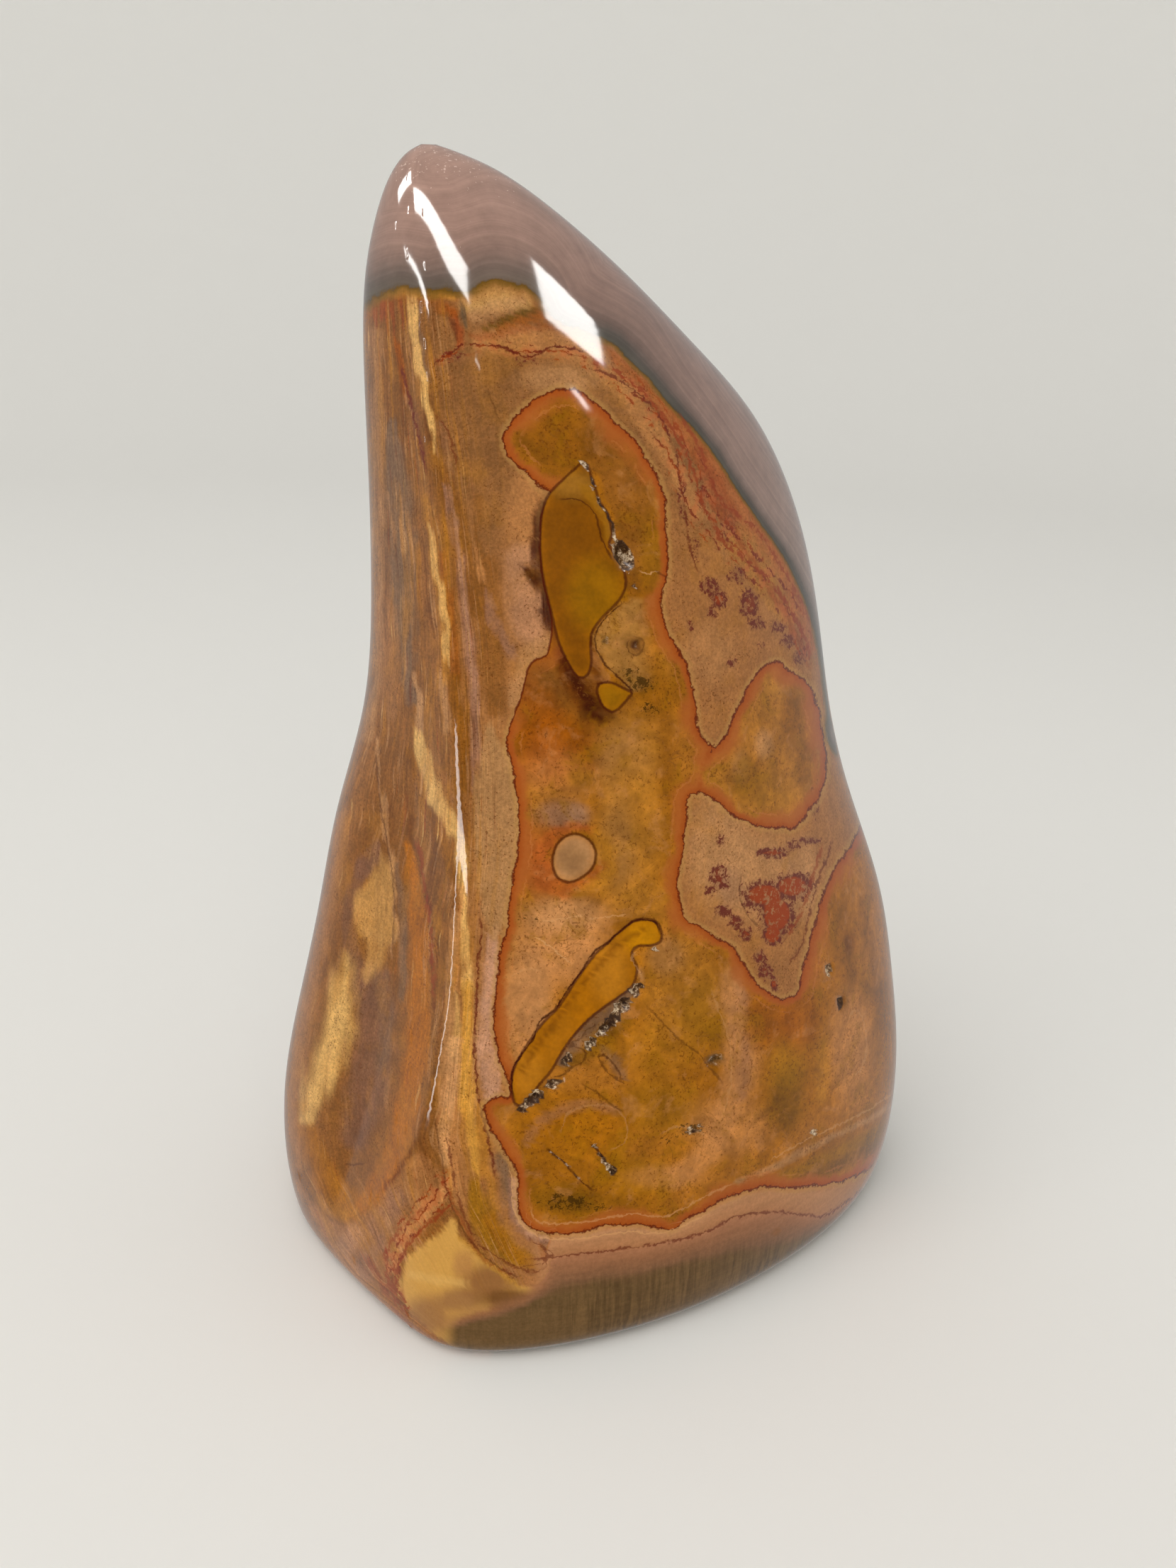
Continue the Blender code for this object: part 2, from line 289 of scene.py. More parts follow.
def roll_relief(x, z):
    """The low rolls that run up the stone beside the broad face."""
    relief = np.zeros(x.shape)
    for line, rise, half_width in ROLLS:
        heights, middles = np.array(line, dtype=float).T
        across = (x - np.interp(z, heights, middles)) / half_width
        ends = smooth_step(z, heights[0] - ROLL_ENDS_OVER, heights[0] + ROLL_ENDS_OVER)
        ends *= fades(z, heights[-1] - ROLL_ENDS_OVER, heights[-1] + ROLL_ENDS_OVER)
        relief += rise * ends * np.exp(-across ** 2)
    return relief


def surface(rises, turns):
    """Points of the finished surface in metres, in the stone's own frame."""
    points = plain_surface(rises, turns)
    x, y, z = np.moveaxis(points, 2, 0)
    faces_front = np.asarray(turns)[None, :] % TURN < TURN / 2
    relief = np.where(faces_front, dish_relief(x, z) + roll_relief(x, z), 0.0)
    out_x = x - x.mean(axis=1, keepdims=True)
    out_y = y - y.mean(axis=1, keepdims=True)
    length = np.hypot(out_x, out_y)
    moved = np.stack((x + out_x / length * relief, y + out_y / length * relief, z), axis=2)
    return (moved - (MIDDLE_X, MIDDLE_Y, 0.0)) * MM


def even_rises(count):
    """Places from the foot to the tip at even steps along the surface."""
    fine = np.linspace(0, len(SECTIONS) - 1, FINE_STEPS)
    lines = plain_surface(fine, (0.0, TURN / 4, TURN / 2, 3 * TURN / 4))
    steps = np.linalg.norm(np.diff(lines, axis=0), axis=2).mean(axis=1)
    return np.interp(np.linspace(0, steps.sum(), count), np.append(0, np.cumsum(steps)), fine)


def column_turns():
    """Places round the stone, closer together on its front."""
    front = np.linspace(FRONT_FROM, FRONT_TO, FRONT_COLUMNS, endpoint=False)
    back = np.linspace(FRONT_TO, FRONT_FROM + TURN, BACK_COLUMNS, endpoint=False)
    return np.concatenate((front, back))


def stone_places():
    """Where the vertices of a sphere go: its tip, its rings from top to bottom, and its foot."""
    side = surface(even_rises(SIDE_RINGS), column_turns())[::-1]
    tip = side[0].mean(axis=0)
    tip[2] = TIP_HEIGHT * MM
    contact = side[-1]
    middle = contact.mean(axis=0)
    foot = [middle + (contact - middle) * (1 - ring / FOOT_RINGS) for ring in range(1, FOOT_RINGS)]
    return tip, np.concatenate((side, foot)), middle


def vertex_values(mesh, name):
    """The place or the normal of each vertex."""
    flat = np.empty(len(mesh.vertices) * 3)
    mesh.vertices.foreach_get(name, flat)
    return flat.reshape(-1, 3)


def make_stone():
    """The stone: a sphere whose rings are laid on its sections. Gives each vertex's turn too."""
    tip, rings, foot_middle = stone_places()
    ring_count, column_count = rings.shape[:2]
    bpy.ops.mesh.primitive_uv_sphere_add(
        segments=column_count, ring_count=ring_count + 1, radius=1.0
    )
    stone = bpy.context.object
    stone.name = "jasper_stone"
    stone.data.name = "jasper_stone"
    x, y, z = vertex_values(stone.data, "co").T
    ring = np.round(np.arccos(np.clip(z, -1.0, 1.0)) / np.pi * (ring_count + 1)).astype(int)
    column = np.round(np.arctan2(y, x) / (2 * np.pi) * column_count).astype(int) % column_count
    places = rings[np.clip(ring - 1, 0, ring_count - 1), column]
    places[ring == 0] = tip
    places[ring == ring_count + 1] = foot_middle
    stone.data.vertices.foreach_set("co", places.ravel())
    stone.data.update()
    stone.data.shade_smooth()
    return stone, column_turns()[column] % TURN


# Colours as the eye sees them, red, green and blue up to 255.
TAN = (158, 106, 62)
TAN_LIGHT = (184, 134, 88)
TAN_GREY = (146, 106, 68)
TAN_DEEP = (130, 88, 52)
SALMON = (188, 128, 76)
PINK = (196, 146, 116)
MAUVE = (144, 104, 84)
MAUVE_DARK = (122, 84, 62)
GREY_BROWN = (120, 92, 70)
BROWN = (124, 78, 36)
BROWN_DEEP = (92, 48, 18)
BROWN_BLACK = (58, 23, 7)
AMBER = (160, 100, 30)
AMBER_BROWN = (136, 84, 28)
AMBER_DEEP = (126, 76, 8)
AMBER_CLEAR = (166, 102, 10)
GOLD = (176, 116, 38)
GOLD_TAN = (172, 114, 44)
OLIVE = (144, 98, 22)
OLIVE_DARK = (92, 68, 24)
ORANGE = (168, 92, 44)
ORANGE_BROWN = (148, 78, 20)
RUST = (140, 62, 32)
WINE = (92, 34, 22)
YELLOW = (220, 172, 102)
YELLOW_ORANGE = (206, 148, 64)
CREAM = (212, 166, 96)
GREY_DARK = (86, 72, 56)

# Colours that one marking alone has.
STRIP_TAN = (168, 124, 80)
COLUMN_PALE = (202, 148, 98)
HOLLOW_AMBER = (168, 98, 14)
HOLLOW_YELLOW = (192, 142, 80)
CREAM_GROUND = (204, 154, 80)
CREAM_EDGE = (182, 130, 56)
CREAM_SHADE = (150, 106, 68)
CREAM_SHADE_LIGHT = (170, 118, 72)
CREAM_SHADE_BROWN = (136, 90, 56)
CREAM_SHADE_DEEP = (104, 68, 40)
KNOB_TAN = (162, 114, 58)
OVAL_AMBER = (166, 108, 42)
EYE_RING_RUST = (172, 88, 40)
EYE_RING_GOLD = (176, 116, 40)
EYE_CLOUD = (150, 106, 76)
EYE_CLOUD_PALE = (156, 114, 84)
OLIVE_BROWN = (120, 80, 18)
PIT_SHADE = (54, 46, 22)
POD_OLIVE = (146, 98, 14)
POD_TOP = (152, 104, 40)
POD_SIDE = (150, 100, 30)
LEAF_TIP = (188, 126, 24)
LEAF_BROWN = (156, 98, 28)
LEAF_LINE = (112, 64, 16)
CHIP_AMBER = (148, 100, 24)
RUST_LINE = (138, 60, 34)
THREAD_WINE = (98, 40, 30)
PALE_LINE = (210, 158, 104)
CRACK_BROWN = (60, 28, 10)
BRANCH_STAIN = (124, 82, 68)
BRANCH_WINE = (100, 44, 38)
BRANCH_RUST = (146, 58, 28)
BODY_BRANCH = (62, 44, 20)
VEIN_GLOW = (176, 96, 56)
VEIN_WINE = (112, 44, 30)
VEIN_RUST = (148, 66, 30)
FRINGE_YELLOW = (118, 86, 34)
# Painted sheen: the light grey laid on the cap's right side stands in for the reflection of a bright
# wall.
CAP_PAINTED_SHEEN = (166, 148, 140)
CAP_PINK = (172, 138, 124)
CAP_FLAKES = (214, 186, 172)
HALO_PALE = (186, 140, 80)
RIM_RUST = (150, 62, 22)
RIM_PALE = (196, 122, 66)
INSET_RIM = (70, 32, 8)

# Colours in layers, each with its place from 0 to 1.
FOOT_LAYERS = (
    (0.0, (178, 114, 72)),
    (0.08, (184, 132, 92)),
    (0.31, (168, 116, 78)),
    (0.35, (164, 112, 80)),
    (0.45, (148, 102, 72)),
    (0.6, (128, 92, 66)),
    (0.68, (106, 82, 54)),
    (1.0, (114, 88, 58)),
)
CAP_LAYERS = (
    (0.0, (74, 64, 46)),
    (0.03, (80, 76, 68)),
    (0.13, (88, 80, 74)),
    (0.26, (112, 92, 84)),
    (0.42, (134, 108, 98)),
    (1.0, (138, 110, 100)),
)
CRYSTAL_COLOURS = ((0.42, (50, 32, 16)), (0.54, (124, 92, 58)), (0.66, (228, 206, 174)))

# The light on the broad face, which turns seen colours into the stone's own.
LIGHT_ON_FACE = 0.92
POLISH_HAZE = 0.008


def own_colour(seen, light=LIGHT_ON_FACE):
    """The stone's own colour, linear, from how it looks in the light."""
    share = np.array(seen, dtype=float) / 255.0
    linear = np.where(share <= 0.04045, share / 12.92, ((share + 0.055) / 1.055) ** 2.4)
    return tuple(np.clip((linear - POLISH_HAZE) / light, 0.001, 0.95)) + (1.0,)


# The broad face's main outlines, in pixels of the photograph.
BODY_OUTLINE = (
    (778, 696), (756, 682), (726, 651), (712, 634), (713, 606), (730, 583), (750, 566), (780, 551),
    (810, 550), (843, 570), (872, 600), (899, 626), (919, 659), (932, 682), (938, 712), (939, 745),
    (941, 785), (942, 813), (934, 835), (933, 862), (945, 898), (965, 931), (972, 951), (980, 984),
    (982, 1015), (990, 1039), (1003, 1052), (998, 1080), (990, 1112), (973, 1124), (969, 1146),
    (965, 1176), (964, 1200), (959, 1225), (954, 1247), (956, 1264), (961, 1283), (965, 1293),
    (982, 1305), (997, 1314), (1014, 1325), (1031, 1334), (1041, 1346), (1050, 1363), (1065, 1385),
    (1082, 1398), (1101, 1410), (1125, 1400), (1131, 1382), (1138, 1346), (1149, 1305),
    (1159, 1271), (1171, 1237), (1186, 1213), (1200, 1194), (1240, 1150), (1330, 1300),
    (1330, 1560), (1262, 1624), (1232, 1646), (1201, 1661), (1172, 1670), (1143, 1673),
    (1108, 1676), (1084, 1673), (1037, 1685), (1002, 1702), (967, 1720), (949, 1734), (920, 1731),
    (890, 1726), (849, 1729), (826, 1737), (791, 1740), (761, 1737), (738, 1723), (729, 1693),
    (732, 1664), (724, 1640), (706, 1615), (690, 1590), (684, 1560), (700, 1548), (720, 1546),
    (716, 1520), (703, 1490), (698, 1440), (700, 1400), (706, 1340), (716, 1310), (716, 1281),
    (724, 1237), (731, 1195), (732, 1154), (727, 1103), (716, 1055), (722, 1020), (733, 990),
    (740, 962), (746, 941), (756, 931), (772, 923), (777, 904), (779, 884), (775, 854), (768, 828),
    (763, 789), (763, 750), (766, 718),
)
OVAL_OUTLINE = (
    (1094, 933), (1074, 945), (1060, 962), (1045, 991), (1033, 1015), (1021, 1042), (1004, 1060),
    (988, 1074), (980, 1096), (986, 1112), (998, 1122), (1016, 1134), (1036, 1151), (1055, 1160),
    (1079, 1167), (1099, 1167), (1118, 1168), (1133, 1156), (1142, 1141), (1157, 1122),
    (1165, 1093), (1165, 1061), (1160, 1034), (1157, 1005), (1152, 991), (1145, 971), (1130, 957),
    (1111, 945),
)
CAP_OUTLINE = (
    (440, 430), (500, 429), (516, 428), (546, 410), (569, 403), (601, 410), (629, 407), (661, 410),
    (679, 400), (707, 396), (743, 403), (764, 421), (782, 451), (820, 466), (863, 484), (900, 520),
    (950, 575), (1000, 630), (1030, 675), (1070, 735), (1105, 785), (1132, 840), (1148, 890),
    (1158, 940), (1166, 1000), (1176, 1060), (1300, 1120), (1300, 700), (1000, 100), (500, 100),
)

# Outlines that lie in the face: the pod and the leaf of clear amber, the round eye, and so on.
POD_OUTLINE = (
    (825, 653), (808, 666), (790, 682), (775, 698), (766, 722), (763, 755), (764, 790), (770, 828),
    (777, 856), (783, 881), (790, 908), (800, 930), (809, 946), (818, 955), (828, 951), (833, 934),
    (832, 912), (834, 892), (844, 876), (858, 861), (871, 848), (879, 834), (882, 820), (878, 801),
    (869, 785), (858, 770), (862, 752), (856, 726), (844, 706), (836, 680),
)
LEAF_OUTLINE = (
    (897, 1299), (925, 1301), (932, 1324), (920, 1332), (897, 1334), (890, 1347), (898, 1367),
    (890, 1392), (868, 1408), (838, 1430), (812, 1456), (794, 1480), (778, 1508), (761, 1528),
    (740, 1556), (727, 1556), (722, 1533), (726, 1508), (744, 1476), (765, 1446), (790, 1420),
    (812, 1386), (838, 1350), (866, 1324),
)
EYE_OUTLINE = (
    (815, 1178), (831, 1186), (839, 1200), (838, 1218), (826, 1233), (806, 1243), (790, 1240),
    (782, 1226), (781, 1208), (788, 1190), (800, 1180),
)
KNOB_OUTLINE = (
    (838, 903), (843, 886), (856, 868), (880, 850), (905, 844), (930, 856), (944, 890), (946, 930),
    (926, 962), (892, 976), (878, 960), (860, 944), (845, 924),
)
CHIP_OUTLINE = (
    (846, 966), (862, 964), (878, 971), (890, 978), (880, 990), (866, 1003), (852, 996), (844, 980),
)

# Soft strokes and patches on the stone outside the broad face's body: colour, strength and the
# points of the stroke with its half width there, all in pixels of the photograph.
FIELD_STROKES = (
    (TAN_DEEP, 0.6, ((690, 520, 60), (700, 640, 60), (680, 760, 30))),
    (BROWN, 0.7, ((688, 800, 16), (690, 880, 20), (694, 950, 20), (700, 1000, 14))),
    (SALMON, 0.55, ((745, 690, 26), (740, 720, 30), (748, 770, 22))),
    (PINK, 0.35, ((735, 790, 22), (742, 840, 26), (748, 890, 22))),
    (MAUVE, 0.6, ((684, 838, 5), (694, 872, 8), (708, 900, 8), (722, 922, 6))),
    (TAN_LIGHT, 0.6, ((772, 905, 8), (752, 920, 14), (736, 950, 12), (726, 990, 8))),
    (BROWN, 0.5, ((740, 798, 4), (746, 806, 7), (756, 820, 6))),
    (BROWN_BLACK, 0.95, ((745, 806, 4), (752, 813, 6), (756, 820, 3))),
    (BROWN_BLACK, 0.95, (
        (774, 700, 3), (763, 722, 7), (758, 756, 8), (758, 790, 9), (763, 826, 9), (770, 856, 10),
        (779, 884, 9),
    )),
    (BROWN, 0.55, (
        (545, 470, 26), (552, 620, 30), (560, 800, 30), (572, 950, 30), (560, 1080, 34),
        (545, 1200, 40), (530, 1320, 44),
    )),
    (TAN_LIGHT, 0.4, ((530, 470, 8), (532, 620, 8), (535, 800, 8), (533, 950, 8), (518, 1040, 9))),
    (GREY_BROWN, 0.85, (
        (553, 600, 8), (560, 680, 18), (566, 760, 20), (568, 840, 17), (573, 920, 12),
        (580, 985, 8),
    )),
    (TAN, 0.7, ((545, 860, 14), (548, 930, 16), (552, 1000, 14))),
    (TAN_LIGHT, 0.7, ((567, 730, 2.5), (568, 756, 4), (571, 780, 2.5))),
    (TAN_LIGHT, 0.5, ((547, 695, 2), (553, 740, 3), (556, 770, 2))),
    (ORANGE_BROWN, 0.9, ((558, 480, 3), (563, 510, 5), (570, 540, 5), (578, 570, 4))),
    (TAN_LIGHT, 0.6, ((574, 560, 3), (584, 590, 4), (590, 620, 3))),
    (RUST, 0.6, ((528, 428, 2.5), (531, 446, 3), (533, 464, 2))),
    (RUST, 0.7, ((540, 422, 2.5), (542, 446, 3.5), (544, 470, 2))),
    (RUST, 0.6, ((551, 424, 2.5), (554, 450, 3), (557, 476, 2))),
    (RUST, 0.6, ((563, 422, 2), (566, 446, 3), (568, 464, 2))),
    (WINE, 0.5, ((573, 424, 2), (576, 444, 3), (578, 460, 2))),
    (YELLOW, 0.8, (
        (580, 412, 5), (585, 461, 6), (592, 508, 6), (600, 555, 5), (607, 597, 4), (613, 634, 3),
    )),
    (GREY_BROWN, 0.6, ((590, 420, 2), (597, 480, 2.5), (604, 530, 2))),
    (WINE, 0.6, ((579, 566, 3), (589, 611, 5), (600, 663, 4))),
    (MAUVE_DARK, 0.5, ((618, 600, 8), (628, 640, 10), (636, 680, 8))),
    (RUST, 0.7, ((628, 432, 3), (640, 444, 5), (648, 466, 5), (650, 486, 3))),
    (WINE, 0.6, ((632, 446, 2), (640, 462, 3), (645, 480, 2))),
    (TAN_GREY, 0.5, ((516, 500, 10), (520, 700, 10), (524, 900, 10), (514, 1010, 10))),
    (BROWN, 0.7, ((612, 650, 10), (632, 690, 14), (648, 740, 11), (662, 800, 11), (672, 860, 10))),
    (GOLD, 0.6, (
        (598, 704, 6), (607, 738, 8), (610, 776, 7), (617, 813, 7), (626, 860, 7), (631, 898, 6),
        (630, 963, 6),
    )),
    (YELLOW, 0.6, ((608, 742, 3), (612, 790, 4), (621, 836, 4), (629, 884, 4), (633, 940, 3))),
    (BROWN_DEEP, 0.5, ((604, 846, 2), (608, 872, 4), (613, 900, 2))),
    (ORANGE_BROWN, 0.5, ((622, 780, 4), (632, 840, 5), (640, 900, 6), (645, 960, 5))),
    # Painted reflection: these two strokes lay the soft mauve and pink highlight that runs along the
    # crest.
    (MAUVE, 0.7, (
        (630, 686, 4), (640, 738, 6), (650, 799, 7), (657, 870, 7), (664, 940, 7), (670, 1010, 7),
        (668, 1060, 6), (662, 1110, 6),
    )),
    (PINK, 0.3, ((640, 720, 2), (652, 799, 3), (659, 870, 3), (666, 940, 3), (671, 1010, 3))),
    (BROWN, 0.5, ((676, 700, 5), (672, 744, 4), (680, 800, 5))),
    (SALMON, 0.7, ((671, 772, 3), (675, 796, 4), (681, 824, 3))),
    (AMBER_BROWN, 0.7, ((640, 960, 7), (648, 1010, 9), (655, 1060, 9), (657, 1110, 7))),
    (TAN_LIGHT, 0.6, ((620, 950, 6), (627, 990, 7), (632, 1030, 5))),
    (BROWN, 0.6, ((604, 960, 6), (612, 1010, 7), (622, 1052, 6), (636, 1100, 6), (650, 1146, 5))),
    (TAN_LIGHT, 0.8, ((587, 950, 3), (590, 990, 3), (589, 1030, 4))),
    (YELLOW, 0.85, (
        (587, 1030, 4), (597, 1074, 9), (612, 1118, 9), (631, 1153, 8), (645, 1182, 8),
        (651, 1212, 8), (654, 1256, 6), (656, 1305, 6), (658, 1345, 7), (661, 1390, 6),
    )),
    (AMBER_BROWN, 0.7, (
        (578, 1060, 6), (592, 1110, 7), (608, 1150, 7), (626, 1190, 7), (640, 1240, 6),
    )),
    (SALMON, 0.6, ((650, 1250, 3), (648, 1310, 4), (646, 1360, 4), (644, 1420, 4))),
    (YELLOW_ORANGE, 0.85, (
        (661, 1384, 6), (661, 1419, 6), (658, 1468, 7), (657, 1512, 9), (658, 1552, 10),
        (666, 1591, 9), (671, 1635, 6), (676, 1665, 3),
    )),
    (YELLOW, 0.5, ((645, 1400, 3), (643, 1450, 4), (641, 1496, 3))),
    # Partly the tan column's own colour and partly a painted highlight along the ridge edge.
    (TAN_LIGHT, 0.6, (
        (640, 1290, 5), (637, 1350, 6), (634, 1420, 7), (630, 1480, 7), (622, 1530, 6),
    )),
    (SALMON, 0.6, ((630, 1530, 12), (632, 1590, 16), (640, 1650, 15), (650, 1690, 10))),
    (COLUMN_PALE, 0.75, (
        (642, 1470, 6), (638, 1520, 10), (628, 1565, 12), (622, 1600, 10), (628, 1640, 6),
    )),
    (GOLD, 0.6, ((676, 1560, 6), (682, 1620, 7), (690, 1670, 7), (700, 1710, 7))),
    (PINK, 0.8, (
        (696, 1310, 6), (693, 1360, 9), (690, 1420, 13), (688, 1480, 14), (692, 1520, 14),
        (694, 1546, 10),
    )),
    (ORANGE_BROWN, 0.8, ((712, 1300, 3), (706, 1360, 4), (702, 1420, 5), (703, 1480, 5))),
)

# The plain strip left of the body, the hollow at the lower left, the small facet under it, the
# cream patch at the foot, the column's foot and the shoulder.
STRIP_OUTLINE = (
    (690, 1020), (704, 1044), (716, 1060), (727, 1103), (732, 1154), (731, 1195), (724, 1237),
    (716, 1281), (712, 1310), (700, 1330), (690, 1318), (680, 1290), (674, 1240), (670, 1180),
    (670, 1110), (678, 1056),
)
HOLLOW_YELLOW_UPPER = (
    (540, 1200), (553, 1236), (556, 1284), (553, 1330), (544, 1334), (534, 1362), (520, 1386),
    (513, 1370), (520, 1332), (506, 1316), (499, 1290), (500, 1268), (512, 1254), (526, 1236),
)
HOLLOW_YELLOW_LOWER = (
    (486, 1344), (499, 1370), (499, 1420), (491, 1480), (478, 1512), (457, 1546), (440, 1580),
    (427, 1574), (430, 1536), (444, 1486), (460, 1432), (470, 1384),
)
HOLLOW_DARK = ((534, 1186), (541, 1200), (530, 1226), (510, 1242), (498, 1230), (508, 1208))
HOLLOW_STROKES = (
    (TAN, 0.8, (
        (487, 1150, 12), (472, 1210, 13), (456, 1290, 14), (440, 1380, 13), (425, 1470, 12),
        (415, 1560, 12), (420, 1640, 12),
    )),
    (GOLD_TAN, 0.5, ((524, 1250, 10), (512, 1290, 14), (500, 1330, 10))),
    (MAUVE_DARK, 0.6, (
        (512, 1216, 10), (500, 1256, 9), (489, 1290, 10), (494, 1330, 11), (504, 1366, 11),
        (516, 1408, 16),
    )),
    (MAUVE_DARK, 0.85, (
        (526, 1380, 22), (530, 1430, 26), (526, 1490, 28), (514, 1550, 28), (500, 1600, 20),
    )),
    (GREY_BROWN, 0.4, ((540, 1380, 12), (545, 1440, 10), (538, 1500, 10))),
    (HOLLOW_AMBER, 0.85, (
        (574, 1190, 6), (582, 1240, 10), (591, 1290, 12), (593, 1340, 13), (592, 1400, 15),
        (590, 1460, 17), (584, 1520, 18), (575, 1570, 18), (562, 1612, 16), (545, 1652, 14),
        (522, 1690, 12), (498, 1710, 9),
    )),
    (GREY_BROWN, 0.6, (
        (560, 1222, 4), (566, 1270, 6), (568, 1320, 7), (568, 1370, 6), (566, 1410, 5),
    )),
    (TAN_LIGHT, 0.7, (
        (531, 1040, 2), (537, 1100, 2), (544, 1153, 2.4), (551, 1207, 2.4), (556, 1256, 2),
        (556, 1315, 2), (553, 1345, 2),
    )),
    (BROWN, 0.7, (
        (612, 1230, 8), (622, 1290, 10), (624, 1350, 9), (619, 1420, 8), (612, 1480, 7),
        (603, 1530, 6), (592, 1576, 5),
    )),
    (WINE, 0.6, (
        (590, 1196, 2), (600, 1240, 2.4), (608, 1300, 3), (613, 1360, 2.6), (614, 1420, 2),
    )),
    (BROWN_DEEP, 0.4, ((572, 1120, 2), (580, 1172, 3), (592, 1226, 3), (602, 1270, 2.4))),
    (AMBER, 0.7, ((425, 1560, 10), (440, 1620, 16), (462, 1668, 18), (490, 1690, 16))),
    (GOLD, 0.6, ((452, 1690, 6), (468, 1706, 9), (486, 1716, 9), (504, 1708, 6))),
    (WINE, 0.7, ((586, 1612, 3), (578, 1634, 5), (562, 1655, 6), (546, 1674, 4))),
    (WINE, 0.45, ((588, 1624, 3), (595, 1640, 4), (603, 1656, 3))),
)
HOLLOW_YELLOW_STROKES = (
    (YELLOW, 0.7, ((486, 1390, 7), (472, 1460, 12), (452, 1526, 12), (434, 1578, 7))),
)
FACET_OUTLINE = (
    (588, 1626), (622, 1660), (628, 1664), (604, 1694), (572, 1730), (556, 1764), (549, 1786),
    (560, 1830), (592, 1872), (640, 1920), (560, 1920), (470, 1840), (420, 1740), (404, 1650),
    (430, 1680), (456, 1714), (482, 1728), (506, 1722), (536, 1690),
)
FACET_STROKES = (
    (MAUVE, 0.5, ((560, 1690, 14), (536, 1730, 16), (520, 1770, 14), (512, 1800, 10))),
    (PINK, 0.3, ((500, 1740, 14), (480, 1770, 14), (510, 1826, 12), (556, 1870, 10))),
    (TAN_DEEP, 0.5, ((420, 1690, 8), (444, 1750, 9), (480, 1802, 9), (530, 1850, 9))),
    (RUST, 0.6, ((520, 1776, 4), (534, 1806, 5), (552, 1836, 5), (580, 1866, 5), (612, 1886, 5))),
    (SALMON, 0.9, (
        (632, 1664, 6), (618, 1690, 10), (596, 1714, 12), (576, 1738, 12), (562, 1764, 10),
        (552, 1790, 7),
    )),
)
CREAM_OUTLINE = (
    (637, 1718), (646, 1736), (657, 1754), (690, 1783), (731, 1812), (772, 1822), (756, 1838),
    (700, 1846), (660, 1858), (644, 1880), (654, 1906), (600, 1872), (568, 1830), (566, 1804),
    (570, 1784), (586, 1764), (607, 1748), (622, 1738),
)
CREAM_SPOTS = (
    (CREAM_SHADE, 0.85, (604, 1856), (34, 32)),
    (CREAM_SHADE, 0.85, (648, 1834), (34, 18)),
    (CREAM_SHADE_BROWN, 0.85, (690, 1808), (44, 28)),
    (CREAM_SHADE_DEEP, 0.9, (722, 1834), (52, 16)),
    (CREAM_SHADE_LIGHT, 0.6, (654, 1782), (14, 20)),
)
CREAM_STROKES = (
    (CREAM, 0.6, ((578, 1798, 5), (616, 1806, 7), (656, 1811, 4))),
    (CREAM_EDGE, 0.8, ((648, 1744, 3), (660, 1758, 4), (692, 1786, 4), (730, 1813, 3))),
)
COLUMN_FOOT_STROKES = (
    (OLIVE, 0.85, (
        (668, 1670, 8), (678, 1710, 16), (696, 1744, 18), (720, 1768, 16), (748, 1780, 11),
    )),
    (AMBER, 0.6, ((690, 1720, 10), (712, 1756, 11), (750, 1784, 8))),
    (GREY_BROWN, 0.9, ((703, 1632, 8), (712, 1652, 11), (716, 1676, 8), (718, 1700, 6))),
    (MAUVE, 0.8, ((722, 1666, 5), (719, 1692, 6), (726, 1720, 6), (742, 1742, 5), (770, 1753, 4))),
    (PINK, 0.8, (
        (730, 1664, 3), (726, 1690, 3), (730, 1716, 3), (746, 1740, 3), (790, 1752, 3),
        (850, 1746, 4), (900, 1742, 5),
    )),
)
SHOULDER_STROKES = (
    (PINK, 0.5, ((862, 484, 6), (888, 506, 9), (912, 530, 8), (930, 552, 5))),
    (SALMON, 0.6, (
        (690, 480, 20), (760, 480, 20), (830, 500, 16), (890, 560, 14), (940, 640, 12),
        (985, 720, 12),
    )),
    (ORANGE, 0.6, (
        (866, 500, 8), (905, 542, 10), (950, 592, 11), (1000, 652, 12), (1036, 706, 12),
        (1076, 760, 12), (1110, 812, 12), (1132, 862, 11), (1146, 910, 8),
    )),
    (GOLD_TAN, 0.5, ((1040, 760, 20), (1080, 820, 18), (1110, 870, 12))),
    (RUST, 0.5, ((985, 640, 8), (1010, 690, 12), (1036, 728, 10))),
    (RUST, 0.65, (
        (1000, 702, 5), (1016, 724, 7), (1034, 744, 6), (1044, 768, 4), (1066, 796, 4),
        (1088, 830, 4), (1104, 860, 4), (1124, 900, 4), (1140, 940, 3),
    )),
    (YELLOW, 0.55, ((664, 424, 16), (700, 418, 18), (740, 422, 14))),
    (TAN_LIGHT, 0.6, ((672, 446, 10), (700, 434, 12), (736, 424, 8))),
    (OLIVE_DARK, 0.75, ((680, 466, 3), (711, 452, 5), (740, 440, 5), (772, 434, 4))),
    (ORANGE_BROWN, 0.6, ((700, 466, 4), (730, 454, 6), (764, 446, 6), (790, 450, 4))),
    (RUST, 0.4, ((664, 474, 4), (700, 474, 5), (740, 464, 5), (776, 460, 4))),
    (GREY_DARK, 0.8, ((652, 424, 2), (655, 444, 4), (657, 462, 3))),
    (YELLOW_ORANGE, 0.7, (
        (540, 414, 5), (570, 410, 7), (600, 414, 6), (622, 416, 5), (640, 418, 4),
    )),
    (ORANGE_BROWN, 0.5, ((620, 436, 8), (640, 440, 7))),
)
TRIANGLE_SPOTS = (
    (TAN_LIGHT, 0.6, (790, 535), (60, 22)),
    (TAN_LIGHT, 0.75, (1014, 1200), (50, 90)),
    (TAN_LIGHT, 0.65, (1080, 1240), (80, 70)),
    (MAUVE, 0.3, (1030, 1250), (20, 30)),
    (TAN_LIGHT, 0.5, (1140, 1240), (14, 60)),
    (TAN_LIGHT, 0.3, (1000, 920), (40, 50)),
)

